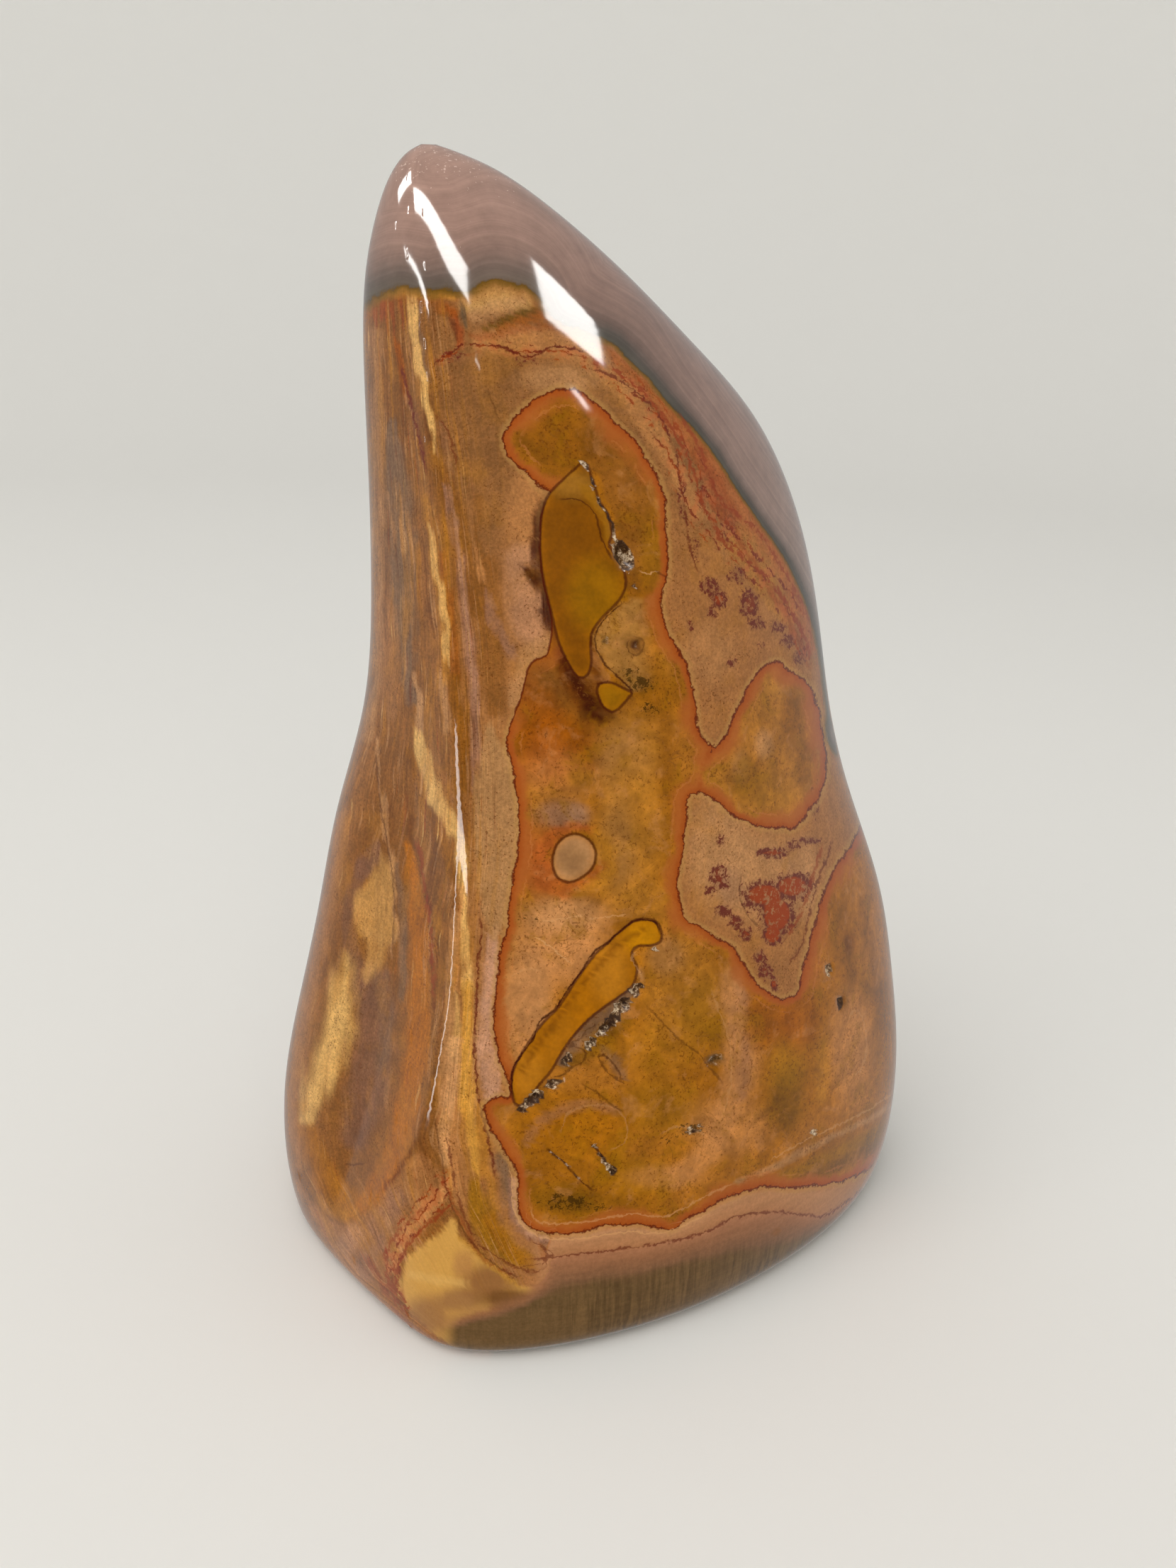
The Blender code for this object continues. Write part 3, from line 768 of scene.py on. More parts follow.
# The body of the broad face, with its oval, its knob and its insets.
BODY_SPOTS = (
    (AMBER_BROWN, 0.95, (800, 618), (84, 60)),
    (BROWN, 0.6, (868, 640), (44, 60)),
    (BROWN, 0.5, (850, 600), (36, 30)),
    (BROWN, 0.6, (890, 720), (40, 90)),
    (OLIVE, 0.5, (920, 780), (20, 60)),
    (AMBER_BROWN, 0.7, (900, 850), (40, 50)),
    (OLIVE_DARK, 0.3, (905, 960), (30, 26)),
    (GOLD_TAN, 0.5, (945, 900), (16, 60)),
    (BROWN, 0.95, (765, 980), (50, 60)),
    (ORANGE_BROWN, 0.6, (756, 1010), (40, 50)),
    (ORANGE_BROWN, 0.75, (790, 1056), (70, 56)),
    (ORANGE, 0.4, (770, 1076), (50, 40)),
    (SALMON, 0.3, (790, 1100), (60, 40)),
    (BROWN, 0.7, (826, 980), (24, 46)),
    (BROWN, 0.5, (850, 1052), (30, 36)),
    (GOLD_TAN, 0.8, (890, 1060), (50, 66)),
    (TAN_GREY, 0.5, (880, 1080), (40, 60)),
    (OLIVE, 0.5, (820, 1098), (24, 14)),
    (EYE_CLOUD, 0.95, (792, 1150), (44, 22)),
    (EYE_CLOUD_PALE, 0.8, (812, 1150), (18, 18)),
    (GOLD_TAN, 0.9, (890, 1170), (50, 110)),
    (TAN_GREY, 0.4, (870, 1200), (30, 80)),
    (AMBER_BROWN, 0.6, (940, 1060), (12, 110)),
    (ORANGE, 0.7, (758, 1216), (30, 60)),
    (GOLD, 0.7, (852, 1220), (18, 50)),
    (GOLD_TAN, 0.7, (900, 1270), (46, 34)),
    (SALMON, 0.95, (790, 1330), (70, 66)),
    (SALMON, 0.9, (740, 1420), (44, 96)),
    (TAN_LIGHT, 0.5, (800, 1290), (66, 26)),
    (TAN_LIGHT, 0.3, (750, 1400), (30, 60)),
    (GOLD_TAN, 0.7, (960, 1400), (60, 80)),
    (OLIVE_DARK, 0.35, (1014, 1450), (26, 20)),
    (OLIVE, 0.5, (1000, 1430), (50, 56)),
    (GOLD, 0.5, (930, 1480), (60, 40)),
    (TAN_GREY, 0.5, (940, 1350), (30, 30)),
    (MAUVE, 0.35, (1035, 1410), (22, 26)),
    (AMBER, 0.9, (760, 1600), (48, 44)),
    (AMBER_CLEAR, 0.5, (820, 1590), (80, 50)),
    (OLIVE, 0.5, (930, 1560), (60, 40)),
    (OLIVE_DARK, 0.5, (790, 1690), (56, 26)),
    (OLIVE_DARK, 0.3, (850, 1700), (60, 20)),
    (OLIVE, 0.5, (900, 1660), (60, 30)),
    (SALMON, 0.6, (1050, 1500), (24, 60)),
    (SALMON, 0.55, (1030, 1590), (60, 44)),
    (SALMON, 0.4, (940, 1660), (60, 18)),
    (ORANGE_BROWN, 0.55, (1085, 1440), (44, 44)),
    (OLIVE_BROWN, 0.8, (1108, 1550), (30, 54)),
    (OLIVE, 0.6, (1112, 1500), (30, 40)),
    (PIT_SHADE, 0.9, (1009, 1495), (15, 8)),
    (ORANGE_BROWN, 0.5, (1130, 1440), (30, 50)),
    (BROWN_DEEP, 0.85, (1198, 1330), (9, 20)),
    (AMBER_BROWN, 0.5, (1190, 1360), (30, 90)),
    (SALMON, 0.6, (1200, 1480), (34, 90)),
    (GOLD, 0.4, (1160, 1500), (14, 60)),
)
OVAL_SPOTS = (
    (AMBER_BROWN, 0.85, (1118, 1010), (18, 46)),
    (AMBER_BROWN, 0.7, (1134, 1074), (14, 40)),
    (AMBER_BROWN, 0.5, (1052, 1096), (26, 36)),
    (OLIVE, 0.4, (1070, 1110), (40, 30)),
    (GOLD_TAN, 0.7, (1080, 970), (30, 18)),
    (TAN_LIGHT, 0.6, (1078, 1050), (14, 22)),
    (TAN_GREY, 0.4, (1044, 1080), (14, 26)),
    (GOLD, 0.5, (1104, 1130), (30, 20)),
)
KNOB_SPOTS = (
    (BROWN, 0.7, (896, 911), (12, 13)),
    (OLIVE_DARK, 0.5, (856, 905), (9, 9)),
    (BROWN_BLACK, 0.9, (896, 911), (6, 8)),
)
POD_SPOTS = ((POD_OLIVE, 0.85, (840, 840), (44, 56)), (POD_TOP, 0.8, (808, 684), (40, 22)))
POD_STROKES = ((POD_SIDE, 0.8, ((826, 690, 8), (856, 730, 6), (858, 760, 5))),)
LEAF_SPOTS = (
    (LEAF_TIP, 0.7, (906, 1322), (30, 26)),
    (GOLD, 0.6, (860, 1370), (30, 50)),
    (LEAF_BROWN, 0.6, (790, 1480), (30, 60)),
    (GOLD, 0.5, (748, 1520), (24, 40)),
)
LEAF_STROKES = (
    (LEAF_LINE, 0.6, (
        (908, 1312, 3), (884, 1324, 3), (862, 1342, 4), (842, 1364, 3), (820, 1390, 3),
        (796, 1424, 4), (770, 1458, 3), (750, 1488, 3), (736, 1514, 3),
    )),
)
EYE_SPOTS = ((TAN_GREY, 0.8, (808, 1212), (24, 28)),)
BODY_STROKES = (
    (EYE_RING_RUST, 0.75, (
        (838, 1170, 5), (808, 1166, 7), (778, 1180, 11), (762, 1210, 15), (768, 1242, 16),
        (796, 1256, 13), (828, 1246, 9), (848, 1222, 6),
    )),
    (EYE_RING_GOLD, 0.8, (
        (838, 1170, 5), (856, 1200, 8), (862, 1226, 9), (842, 1246, 8), (812, 1262, 6),
    )),
    (BROWN_DEEP, 0.8, (
        (780, 884, 5), (788, 920, 9), (802, 952, 15), (822, 980, 20), (842, 1002, 20),
        (856, 1010, 10),
    )),
    (BROWN_BLACK, 0.7, (
        (778, 884, 4), (787, 918, 5), (803, 950, 6), (823, 980, 8), (838, 1002, 11), (850, 1012, 8),
    )),
    (BROWN_DEEP, 0.8, ((836, 880, 3), (834, 912, 5), (838, 938, 9), (844, 960, 9), (858, 964, 4))),
    (BROWN, 0.5, ((846, 1004, 5), (862, 1010, 6), (880, 1002, 5), (892, 986, 4))),
    (BROWN, 0.6, ((860, 846, 5), (846, 862, 4), (836, 880, 3))),
    (AMBER_CLEAR, 0.6, ((840, 668, 4), (848, 700, 4), (862, 728, 5), (868, 752, 4))),
    (TAN_LIGHT, 0.6, ((893, 1342, 3), (886, 1353, 4), (898, 1366, 4), (906, 1382, 3))),
    (OLIVE_DARK, 0.5, ((800, 1500, 10), (830, 1486, 10), (856, 1466, 8), (884, 1440, 8))),
    (GREY_BROWN, 0.8, (
        (790, 1500, 6), (806, 1478, 9), (832, 1450, 12), (858, 1428, 11), (888, 1402, 8),
    )),
    (GREY_BROWN, 0.6, ((852, 1480, 6), (868, 1498, 9), (880, 1520, 6))),
    (MAUVE, 0.4, (
        (1040, 1370, 8), (1046, 1410, 11), (1040, 1450, 11), (1050, 1500, 11), (1044, 1546, 9),
    )),
    (SALMON, 0.6, (
        (1030, 1380, 12), (1036, 1430, 14), (1034, 1500, 13), (1026, 1570, 16), (1000, 1626, 18),
        (950, 1664, 14),
    )),
    (OLIVE, 0.75, (
        (1262, 1590, 16), (1226, 1612, 17), (1180, 1634, 16), (1130, 1654, 11), (1080, 1668, 6),
    )),
    (BROWN, 0.5, ((1262, 1606, 8), (1222, 1626, 9), (1176, 1646, 8), (1130, 1662, 5))),
    (TAN_LIGHT, 0.7, (
        (1262, 1556, 3), (1225, 1580, 4), (1180, 1601, 4), (1130, 1626, 5), (1085, 1650, 5),
        (1040, 1668, 4),
    )),
    (AMBER_BROWN, 0.7, ((1214, 1270, 5), (1226, 1330, 6), (1238, 1390, 6), (1244, 1450, 6))),
    (GOLD, 0.6, ((1160, 1470, 5), (1163, 1510, 8), (1158, 1550, 7))),
    (MAUVE, 0.35, ((742, 1612, 5), (760, 1584, 7), (790, 1566, 8), (830, 1556, 7), (868, 1566, 7))),
    (OLIVE, 0.5, ((880, 1600, 9), (870, 1640, 9), (840, 1668, 9))),
)

# Fine dark cracks, each with its strength, red threads and pale lines, in pixels of the photograph.
CRACKS = (
    (1.0, (
        (932, 1324), (925, 1301), (897, 1299), (879, 1311), (859, 1329), (838, 1342), (823, 1367),
        (800, 1398), (782, 1424), (759, 1444), (754, 1464), (734, 1490), (723, 1510), (722, 1533),
        (727, 1556),
    )),
    (0.9, (
        (880, 851), (860, 866), (846, 882), (839, 902), (844, 922), (856, 940), (871, 954),
        (885, 967), (894, 980),
    )),
    (0.7, (
        (788, 705), (805, 703), (823, 708), (836, 720), (844, 739), (848, 758), (855, 773),
        (864, 790),
    )),
    (0.5, ((896, 898), (906, 902), (908, 914), (900, 924), (888, 921), (884, 910), (888, 900))),
    (0.5, ((910, 1417), (940, 1448), (963, 1470), (983, 1484), (1004, 1510), (1022, 1530))),
    (0.8, ((770, 1619), (782, 1630), (795, 1639), (806, 1652), (822, 1668), (838, 1681))),
    (0.9, ((832, 1613), (842, 1622), (850, 1632), (858, 1650), (865, 1659))),
    (0.5, ((820, 1530), (838, 1538), (860, 1556), (880, 1570))),
    (0.6, (
        (842, 1484), (858, 1492), (872, 1510), (882, 1528), (866, 1520), (850, 1504), (842, 1484),
    )),
    (0.6, (
        (800, 1480), (812, 1476), (826, 1484), (822, 1498), (808, 1504), (796, 1516), (780, 1520),
    )),
    (0.5, ((842, 1446), (830, 1452), (818, 1466), (806, 1470), (792, 1484))),
    (0.5, ((925, 805), (933, 810), (943, 816))),
    (0.35, ((688, 549), (696, 572), (705, 593))),
    (0.5, (
        (612, 1572), (619, 1612), (625, 1645), (629, 1675), (639, 1705), (655, 1738), (679, 1768),
        (708, 1791), (735, 1803),
    )),
    (0.5, (
        (530, 1062), (533, 1100), (539, 1150), (546, 1186), (554, 1237), (556, 1269), (555, 1317),
        (552, 1342),
    )),
    (0.5, ((486, 1642), (500, 1643), (514, 1641))),
    (0.45, ((1046, 1233), (1043, 1264), (1054, 1290), (1071, 1308))),
)
THREADS = (
    (0.9, (
        (675, 1285), (680, 1317), (675, 1349), (673, 1396), (670, 1450), (670, 1500), (674, 1539),
        (684, 1589), (692, 1625), (702, 1668),
    )),
    (0.8, (
        (1174, 1183), (1166, 1212), (1154, 1241), (1146, 1272), (1138, 1306), (1130, 1336),
        (1113, 1361),
    )),
    (0.8, (
        (737, 1776), (767, 1776), (801, 1771), (853, 1765), (884, 1760), (937, 1753), (996, 1738),
        (1023, 1722), (1060, 1712), (1103, 1710), (1137, 1714), (1160, 1716), (1184, 1702),
        (1210, 1684), (1240, 1664),
    )),
    (0.7, (
        (628, 1598), (636, 1640), (641, 1664), (650, 1700), (668, 1744), (700, 1772), (746, 1794),
        (766, 1789), (773, 1776), (768, 1762), (752, 1752), (741, 1740),
    )),
    (0.9, ((566, 512), (572, 540), (579, 566), (584, 590), (592, 624), (600, 663))),
    (0.7, ((614, 583), (627, 600), (636, 620), (641, 640), (644, 664))),
    (1.0, (
        (606, 520), (640, 494), (660, 486), (703, 488), (732, 500), (751, 503), (771, 492),
        (795, 489), (829, 499),
    )),
    (0.9, (
        (828, 519), (870, 533), (912, 566), (940, 603), (954, 645), (961, 687), (968, 729),
        (973, 771), (987, 813),
    )),
)
RUST_LINES = (
    (1.0, (
        (829, 499), (856, 515), (889, 538), (914, 562), (937, 590), (962, 627), (980, 669),
        (990, 706), (1005, 739), (1024, 769), (1052, 790), (1080, 813), (1099, 837), (1117, 865),
        (1136, 902), (1147, 940),
    )),
    (0.9, (
        (954, 580), (975, 612), (992, 645), (1003, 680), (1022, 712), (1046, 730), (1072, 752),
        (1092, 784), (1112, 816), (1130, 850), (1146, 884),
    )),
    (0.8, ((1159, 1191), (1150, 1222), (1142, 1252), (1132, 1282), (1120, 1306), (1108, 1324))),
    (0.7, ((588, 1180), (597, 1230), (605, 1290), (610, 1350), (612, 1410))),
    (0.9, (
        (618, 1655), (630, 1678), (636, 1696), (612, 1720), (590, 1740), (572, 1762), (562, 1786),
        (560, 1812), (568, 1836),
    )),
    (0.8, (
        (600, 1700), (578, 1722), (558, 1744), (546, 1770), (546, 1800), (556, 1830), (580, 1860),
    )),
    (0.5, ((636, 1690), (648, 1716), (660, 1740), (676, 1768), (700, 1788), (730, 1800))),
)
PALE_LINES = (
    (0.7, (
        (716, 1640), (722, 1664), (722, 1690), (728, 1714), (746, 1737), (780, 1748), (830, 1746),
        (880, 1738), (930, 1740), (962, 1730), (1006, 1708),
    )),
    (0.9, ((904, 806), (913, 810), (926, 806))),
    (0.3, ((1002, 1392), (1012, 1420), (1024, 1450), (1032, 1490), (1030, 1530), (1018, 1580))),
    (0.3, ((1196, 1440), (1206, 1424), (1218, 1440), (1222, 1480), (1214, 1510), (1202, 1516))),
    (0.25, (
        (790, 1600), (800, 1572), (830, 1560), (866, 1562), (884, 1586), (880, 1612), (858, 1624),
    )),
    (0.6, ((764, 1300), (795, 1296), (823, 1292))),
    (0.6, ((831, 1297), (856, 1294), (881, 1291))),
    (0.8, ((754, 1322), (768, 1330), (780, 1338), (792, 1350), (806, 1358))),
    (0.3, ((720, 1376), (748, 1366), (762, 1372))),
    (0.3, ((930, 1600), (950, 1590), (975, 1592), (1000, 1604))),
    (0.5, ((1262, 1540), (1225, 1566), (1180, 1588), (1130, 1612), (1085, 1638))),
    (0.5, (
        (748, 1700), (756, 1722), (790, 1726), (836, 1722), (890, 1712), (940, 1716), (990, 1690),
        (1040, 1668),
    )),
    (0.4, ((900, 1340), (890, 1352), (900, 1366), (905, 1380))),
)

# Bands of close jagged red lines: points of the middle of each band, with its half width.
VEIN_BANDS = (
    (
        (620, 510, 5), (650, 494, 8), (690, 484, 8), (730, 496, 9), (771, 494, 10), (810, 500, 10),
        (856, 520, 13), (889, 545, 15), (925, 585, 17), (950, 625, 20), (970, 665, 24),
        (987, 705, 27), (1012, 745, 24), (1047, 782, 20), (1080, 815, 18), (1108, 850, 15),
        (1128, 890, 13), (1142, 930, 9),
    ),
    (
        (628, 1664, 13), (610, 1696, 16), (588, 1718, 16), (566, 1744, 15), (552, 1778, 12),
        (554, 1810, 9), (574, 1846, 5),
    ),
)

# Clusters of small dark branches: middle, reach and strength.
BRANCH_SPOTS = (
    (1000, 826, 15, 14, 1.0), (1014, 846, 14, 14, 1.1), (1004, 864, 9, 8, 0.9),
    (1040, 812, 16, 14, 0.8), (1058, 852, 17, 24, 1.05), (1068, 880, 14, 12, 0.9),
    (1098, 884, 14, 10, 0.95), (1112, 904, 14, 12, 0.95), (1130, 926, 12, 14, 0.85),
    (1033, 935, 9, 8, 0.9), (973, 883, 8, 8, 0.8), (990, 700, 12, 30, 0.5),
    (1026, 750, 14, 30, 0.6), (962, 700, 8, 40, 0.6), (980, 776, 10, 20, 0.6),
    (1074, 910, 10, 10, 0.5), (1013, 1236, 16, 20, 1.05), (1002, 1256, 9, 9, 1.0),
    (1022, 1246, 8, 12, 1.0), (1090, 1203, 28, 9, 1.1), (1140, 1186, 22, 7, 1.0),
    (1114, 1194, 16, 7, 1.0), (1018, 1186, 8, 12, 0.8), (1078, 1262, 38, 24, 1.14),
    (1118, 1250, 34, 24, 1.13), (1096, 1290, 30, 36, 1.18), (1090, 1318, 17, 20, 1.2),
    (1060, 1268, 14, 22, 1.0), (1020, 1284, 14, 10, 1.0), (1038, 1300, 13, 12, 1.05),
    (1052, 1318, 11, 12, 1.1), (1072, 1350, 11, 11, 1.05), (1080, 1370, 12, 14, 1.05),
    (1092, 1388, 8, 14, 1.1), (1150, 1130, 8, 40, 0.5), (640, 505, 22, 10, 0.6),
    (745, 508, 20, 14, 0.5), (740, 556, 8, 8, 0.6), (900, 620, 14, 12, 0.5),
    (905, 964, 22, 14, 0.9), (890, 946, 14, 12, 0.6), (918, 1000, 16, 12, 0.6),
    (800, 1696, 40, 14, 0.8), (764, 1690, 14, 10, 0.5), (846, 1702, 20, 8, 0.6),
    (974, 1594, 22, 9, 0.75), (945, 1606, 14, 10, 0.5), (700, 1470, 8, 10, 0.5),
    (744, 1300, 30, 10, 0.4),
)

# Open pits: middle, reach across and along, tilt in degrees, depth in millimetres and crystals.
# Furrows: depth in millimetres, crystals, and the points of the furrow with its half width.
PITS = (
    ((880, 784), 11, 22, -22, 1.7, 1.0),
    ((892, 828), 3, 6, 0, 0.5, 0.6),
    ((826, 655), 5, 4, 0, 0.4, 0.8),
    ((855, 905), 6, 7, 0, 0.5, 0.32),
    ((896, 910), 4, 7, 0, 0.8, 0.3),
    ((750, 812), 6, 7, 20, 0.7, 0.0),
    ((1170, 1367), 4, 9, 14, 0.6, 0.9),
    ((1186, 1414), 4, 9, 8, 0.6, 0.9),
    ((924, 1341), 4, 3, 0, 0.4, 0.8),
    ((1009, 1496), 18, 7, -38, 0.5, 0.3),
    ((865, 1654), 4, 8, 20, 0.6, 0.9),
    ((1148, 1598), 4, 4, 0, 0.4, 0.7),
    ((974, 1596), 6, 5, 0, 0.3, 0.6),
    ((988, 1590), 4, 5, 30, 0.3, 0.6),
)
FURROWS = (
    (1.3, 1.0, (
        (903, 1392, 4), (890, 1406, 7), (876, 1424, 8), (858, 1448, 6), (842, 1464, 5),
        (828, 1480, 3),
    )),
    (0.8, 0.9, ((804, 1490, 3), (797, 1496, 5), (792, 1506, 3))),
    (1.2, 1.0, ((800, 1522, 3), (782, 1528, 4), (766, 1541, 5), (752, 1551, 6), (736, 1564, 6))),
    (0.35, 0.55, (
        (830, 662, 2), (838, 690, 2), (848, 712, 2.5), (859, 726, 2), (866, 750, 2.5),
        (872, 768, 3),
    )),
    (0.25, 0.0, (
        (925, 1301, 2), (897, 1299, 3), (859, 1329, 3), (823, 1367, 3), (782, 1424, 3),
        (754, 1464, 3), (723, 1510, 3), (724, 1550, 3),
    )),
    (0.3, 0.35, ((770, 1619, 1.5), (795, 1639, 2), (822, 1668, 2), (838, 1681, 2))),
    (0.4, 0.7, ((834, 1614, 1.5), (850, 1634, 2.5), (864, 1656, 3))),
)

# Where the foot's layers lie: the orange rim, the second line and the grey foot, as (x, y) pixels.
FOOT_RIM = (
    (560, 1872), (636, 1856), (690, 1842), (740, 1826), (768, 1800), (778, 1746), (791, 1740),
    (826, 1737), (849, 1729), (890, 1726), (920, 1731), (949, 1734), (967, 1720), (1002, 1702),
    (1037, 1685), (1084, 1673), (1108, 1676), (1143, 1673), (1172, 1670), (1201, 1661),
    (1232, 1646), (1300, 1600),
)
FOOT_LINE = (
    (560, 1874), (636, 1858), (690, 1845), (740, 1829), (768, 1806), (780, 1772), (791, 1770),
    (832, 1767), (879, 1761), (937, 1753), (996, 1738), (1023, 1722), (1060, 1712), (1103, 1710),
    (1137, 1714), (1160, 1716), (1184, 1702), (1210, 1684), (1300, 1630),
)
FOOT_GREY = (
    (560, 1890), (636, 1874), (690, 1860), (738, 1844), (791, 1817), (879, 1805), (967, 1784),
    (1026, 1770), (1084, 1764), (1131, 1750), (1180, 1724), (1300, 1650),
)
FOOT_END = ((560, 1950), (1300, 1950))

# The crest that the streaks on the left run along, and the stone's left edge, as (y, x) pixels.
CREST = (
    (400, 590), (520, 604), (640, 620), (760, 636), (900, 652), (1050, 662), (1180, 663),
    (1290, 652), (1400, 644), (1500, 636), (1600, 628), (1700, 648), (1800, 700), (1900, 740),
)
LEFT_EDGE = (
    (400, 516), (600, 519), (800, 524), (950, 522), (1030, 508), (1116, 485), (1269, 460),
    (1350, 444), (1430, 421), (1550, 400), (1650, 413), (1742, 456), (1800, 490), (1900, 620),
)
STREAKS_ACROSS = 10.0

# The markings on the sides and the back, in millimetres: round the stone from the middle of its
# back, with the right side below 0, and the height. BACK_FOOT holds the heights of the foot's rim,
# second line, grey layer and end.
BACK_WIDTH_AT_FOOT = 23.0
BACK_WIDTH_LOSS = 0.09
BACK_CAP_EDGE = (
    (-90, 118), (-75, 112), (-55, 100), (-43, 92), (-28, 79), (-12, 73), (4, 80), (14, 99),
    (22, 122), (31, 140), (50, 141),
)
BACK_BODY = (
    (-110, 28), (-110, 74), (-84, 76), (-66, 72), (-56, 65), (-44, 69), (-30, 61), (-20, 50),
    (-6, 55), (4, 60), (14, 52), (12, 42), (4, 38), (6, 30), (-4, 23), (-20, 26), (-34, 21),
    (-50, 26), (-70, 25),
)
BACK_LEAF = ((-36, 54), (-28, 52), (-20, 44), (-14, 36), (-18, 33), (-26, 37), (-33, 43), (-38, 49))
BACK_OVAL = ((24, 66), (32, 60), (36, 48), (33, 36), (26, 32), (20, 38), (17, 50), (19, 61))
BACK_SPOTS = (
    (AMBER_BROWN, 0.6, (-40, 44), (30, 18)),
    (OLIVE, 0.6, (-14, 34), (20, 12)),
    (GOLD_TAN, 0.5, (-60, 40), (14, 24)),
    (ORANGE_BROWN, 0.6, (-30, 28), (18, 8)),
    (BROWN_DEEP, 0.5, (-24, 42), (8, 7)),
    (OLIVE_DARK, 0.4, (26, 48), (8, 12)),
    (SALMON, 0.4, (-74, 30), (10, 16)),
    (GOLD, 0.5, (0, 42), (12, 8)),
)
BACK_FIELD_SPOTS = (
    (SALMON, 0.5, (0, 66), (22, 12)),
    (TAN_LIGHT, 0.5, (-40, 80), (20, 8)),
    (TAN_GREY, 0.5, (14, 78), (10, 16)),
    (MAUVE, 0.5, (46, 40), (10, 34)),
    (GREY_BROWN, 0.6, (40, 90), (8, 40)),
    (BROWN, 0.5, (54, 70), (9, 50)),
    (TAN_LIGHT, 0.5, (48, 60), (5, 40)),
    (AMBER_BROWN, 0.5, (60, 40), (6, 30)),
)
BACK_BRANCHES = (
    (-10, 66, 9, 5, 1.2), (2, 72, 7, 6, 1.0), (-20, 68, 6, 4, 0.9), (-48, 80, 8, 5, 1.0),
    (20, 84, 5, 9, 0.9), (24, 74, 3, 5, 0.8), (-62, 84, 6, 4, 0.8), (-30, 30, 8, 3, 0.7),
)
BACK_THREADS = (
    (0.9, ((-60, 94), (-44, 86), (-30, 73), (-12, 66), (4, 72), (12, 88), (17, 108), (24, 128))),
    (0.7, ((-62, 90), (-46, 81), (-30, 69), (-12, 61), (4, 66), (14, 78))),
    (0.7, ((40, 20), (44, 50), (40, 80), (34, 110))),
)
BACK_CRACKS = ((0.5, ((-20, 40), (-10, 34), (-2, 30))), (0.4, ((-52, 50), (-44, 40), (-46, 30))))
BACK_FOOT = (25.0, 20.0, 13.0, 0.0)

# How paint and fields are laid on. A pair says where a mask starts to change and where it ends.
LINE_NAMES = ("crack", "thread", "rust", "pale", "veins")
LINE_REACH = 1.0
FAR_FROM_LINES = 9.0
STROKE_EDGE = (0.55, 1.45)
SPOT_EDGE = (0.45, 1.3)
PIT_SLOPE = (0.4, 1.15)
PIT_LINING_EDGE = (0.85, 1.2)
CRYSTAL_LUMPS = (-0.28, 0.34)
FRONT_SHOWS = (-0.02, 0.16)
PITS_SHOW = (0.1, 0.3)
PAINT_DRIFT = 3.0
RAGGED_DRIFT = 5.0
BODY_DRIFT = 2.0
INSET_SOFTNESS = 12
CREAM_CALM = 0.8
STREAKS_LOST_PAST_CREST = 0.85
STREAKS_LOST_IN_HOLLOW = 0.6

# Where markings of the front start and end, in pixels.
LOBE_MIDDLE = (780, 610)
LOBE_REACH = (115, 92)
LOBE_THINS = 0.2
SHADED_TOP = (620, 800)
PAST_CREST = (-10, 24)
STREAKS_PAST_CREST = (16, 60)
KNOB_FADES = (890, 930)
HOLLOW_TOP = (1130, 1210)
HOLLOW_SIDE = (560, 620)
HOLLOW_BOTTOM = (1630, 1700)
HOLLOW_PAINT_TOP = (1120, 1200)
HOLLOW_PAINT_SIDE = (612, 630)
FOOT_SIDE = (612, 650)
FOOT_TOP = (1640, 1700)
FOOT_LEFT_END = (730, 790)
UNDER_FOOT_RIM = (-10, 16)
FOOT_RIM_FADES_OVER = 40.0
FOOT_LEFT_LAYER = 1.4
CREST_LEAST_REACH = 20.0
STREAK_PITCH_PAST_CREST = 9.0

# Where the body's rim doesn't glow: middle, reach and how much of the glow goes.
RIM_DIMMED = (((772, 820), (30, 130), 0.9), ((744, 974), (34, 60), 0.8))

# Where the cap's bands draw together: from, to, and how much closer they get.
CAP_CLOSES = ((680, 960, 1.1), (900, 1060, 1.6))

# Limits of the markings on the back, in millimetres.
BACK_BROWN_FROM = (36, 46)
BACK_STREAKS_FROM = (32, 42)
BACK_STREAK_PITCH = 5.0
BACK_FOOT_SINKS = (10, 42)
BACK_FOOT_SINKS_BY = 4.0
BACK_FOOT_WAVER = 1.6
BACK_FOOT_FADES_OVER = 5.0
BACK_CAP_SPREAD = 0.75
BACK_VEINS_UNDER_CAP = 6.0
BACK_VEINS_EDGE = (1.5, 4.5)
BACK_VEINS_END = 30
BACK_RIM_GLOW = 0.9


def value_along(line, places):
    """The second number of a line at each place along its first."""
    return np.interp(places, *np.array(line, dtype=float).T)


def ripple(x, y, size, seed, waves=9):
    """A soft random unevenness from about -1 to 1, with bumps of about the given size."""
    chance = np.random.default_rng(seed)
    total = np.zeros(x.shape)
    for _ in range(waves):
        angle = chance.uniform(0.0, 2 * np.pi)
        pitch = 2 * np.pi / (size * chance.uniform(1.2, 3.4))
        total += np.sin((x * np.cos(angle) + y * np.sin(angle)) * pitch + chance.uniform(0.0, 6.3))
    return total / waves * 2.0


def stroke_mask(stroke, x, y):
    """1 in the middle of a stroke and 0 well outside it."""
    points = np.array(stroke, dtype=float)
    distance, _, along = nearest_on_line(points[:, :2], x, y)
    steps = np.hypot(*np.diff(points[:, :2], axis=0).T)
    knots = np.append(0.0, np.cumsum(steps)) / steps.sum()
    return fades(distance / np.interp(along, knots, points[:, 2]), *STROKE_EDGE)


def spot_mask(middle, reach, x, y):
    """1 in the middle of an oval spot and 0 well outside it."""
    return fades(np.hypot((x - middle[0]) / reach[0], (y - middle[1]) / reach[1]), *SPOT_EDGE)


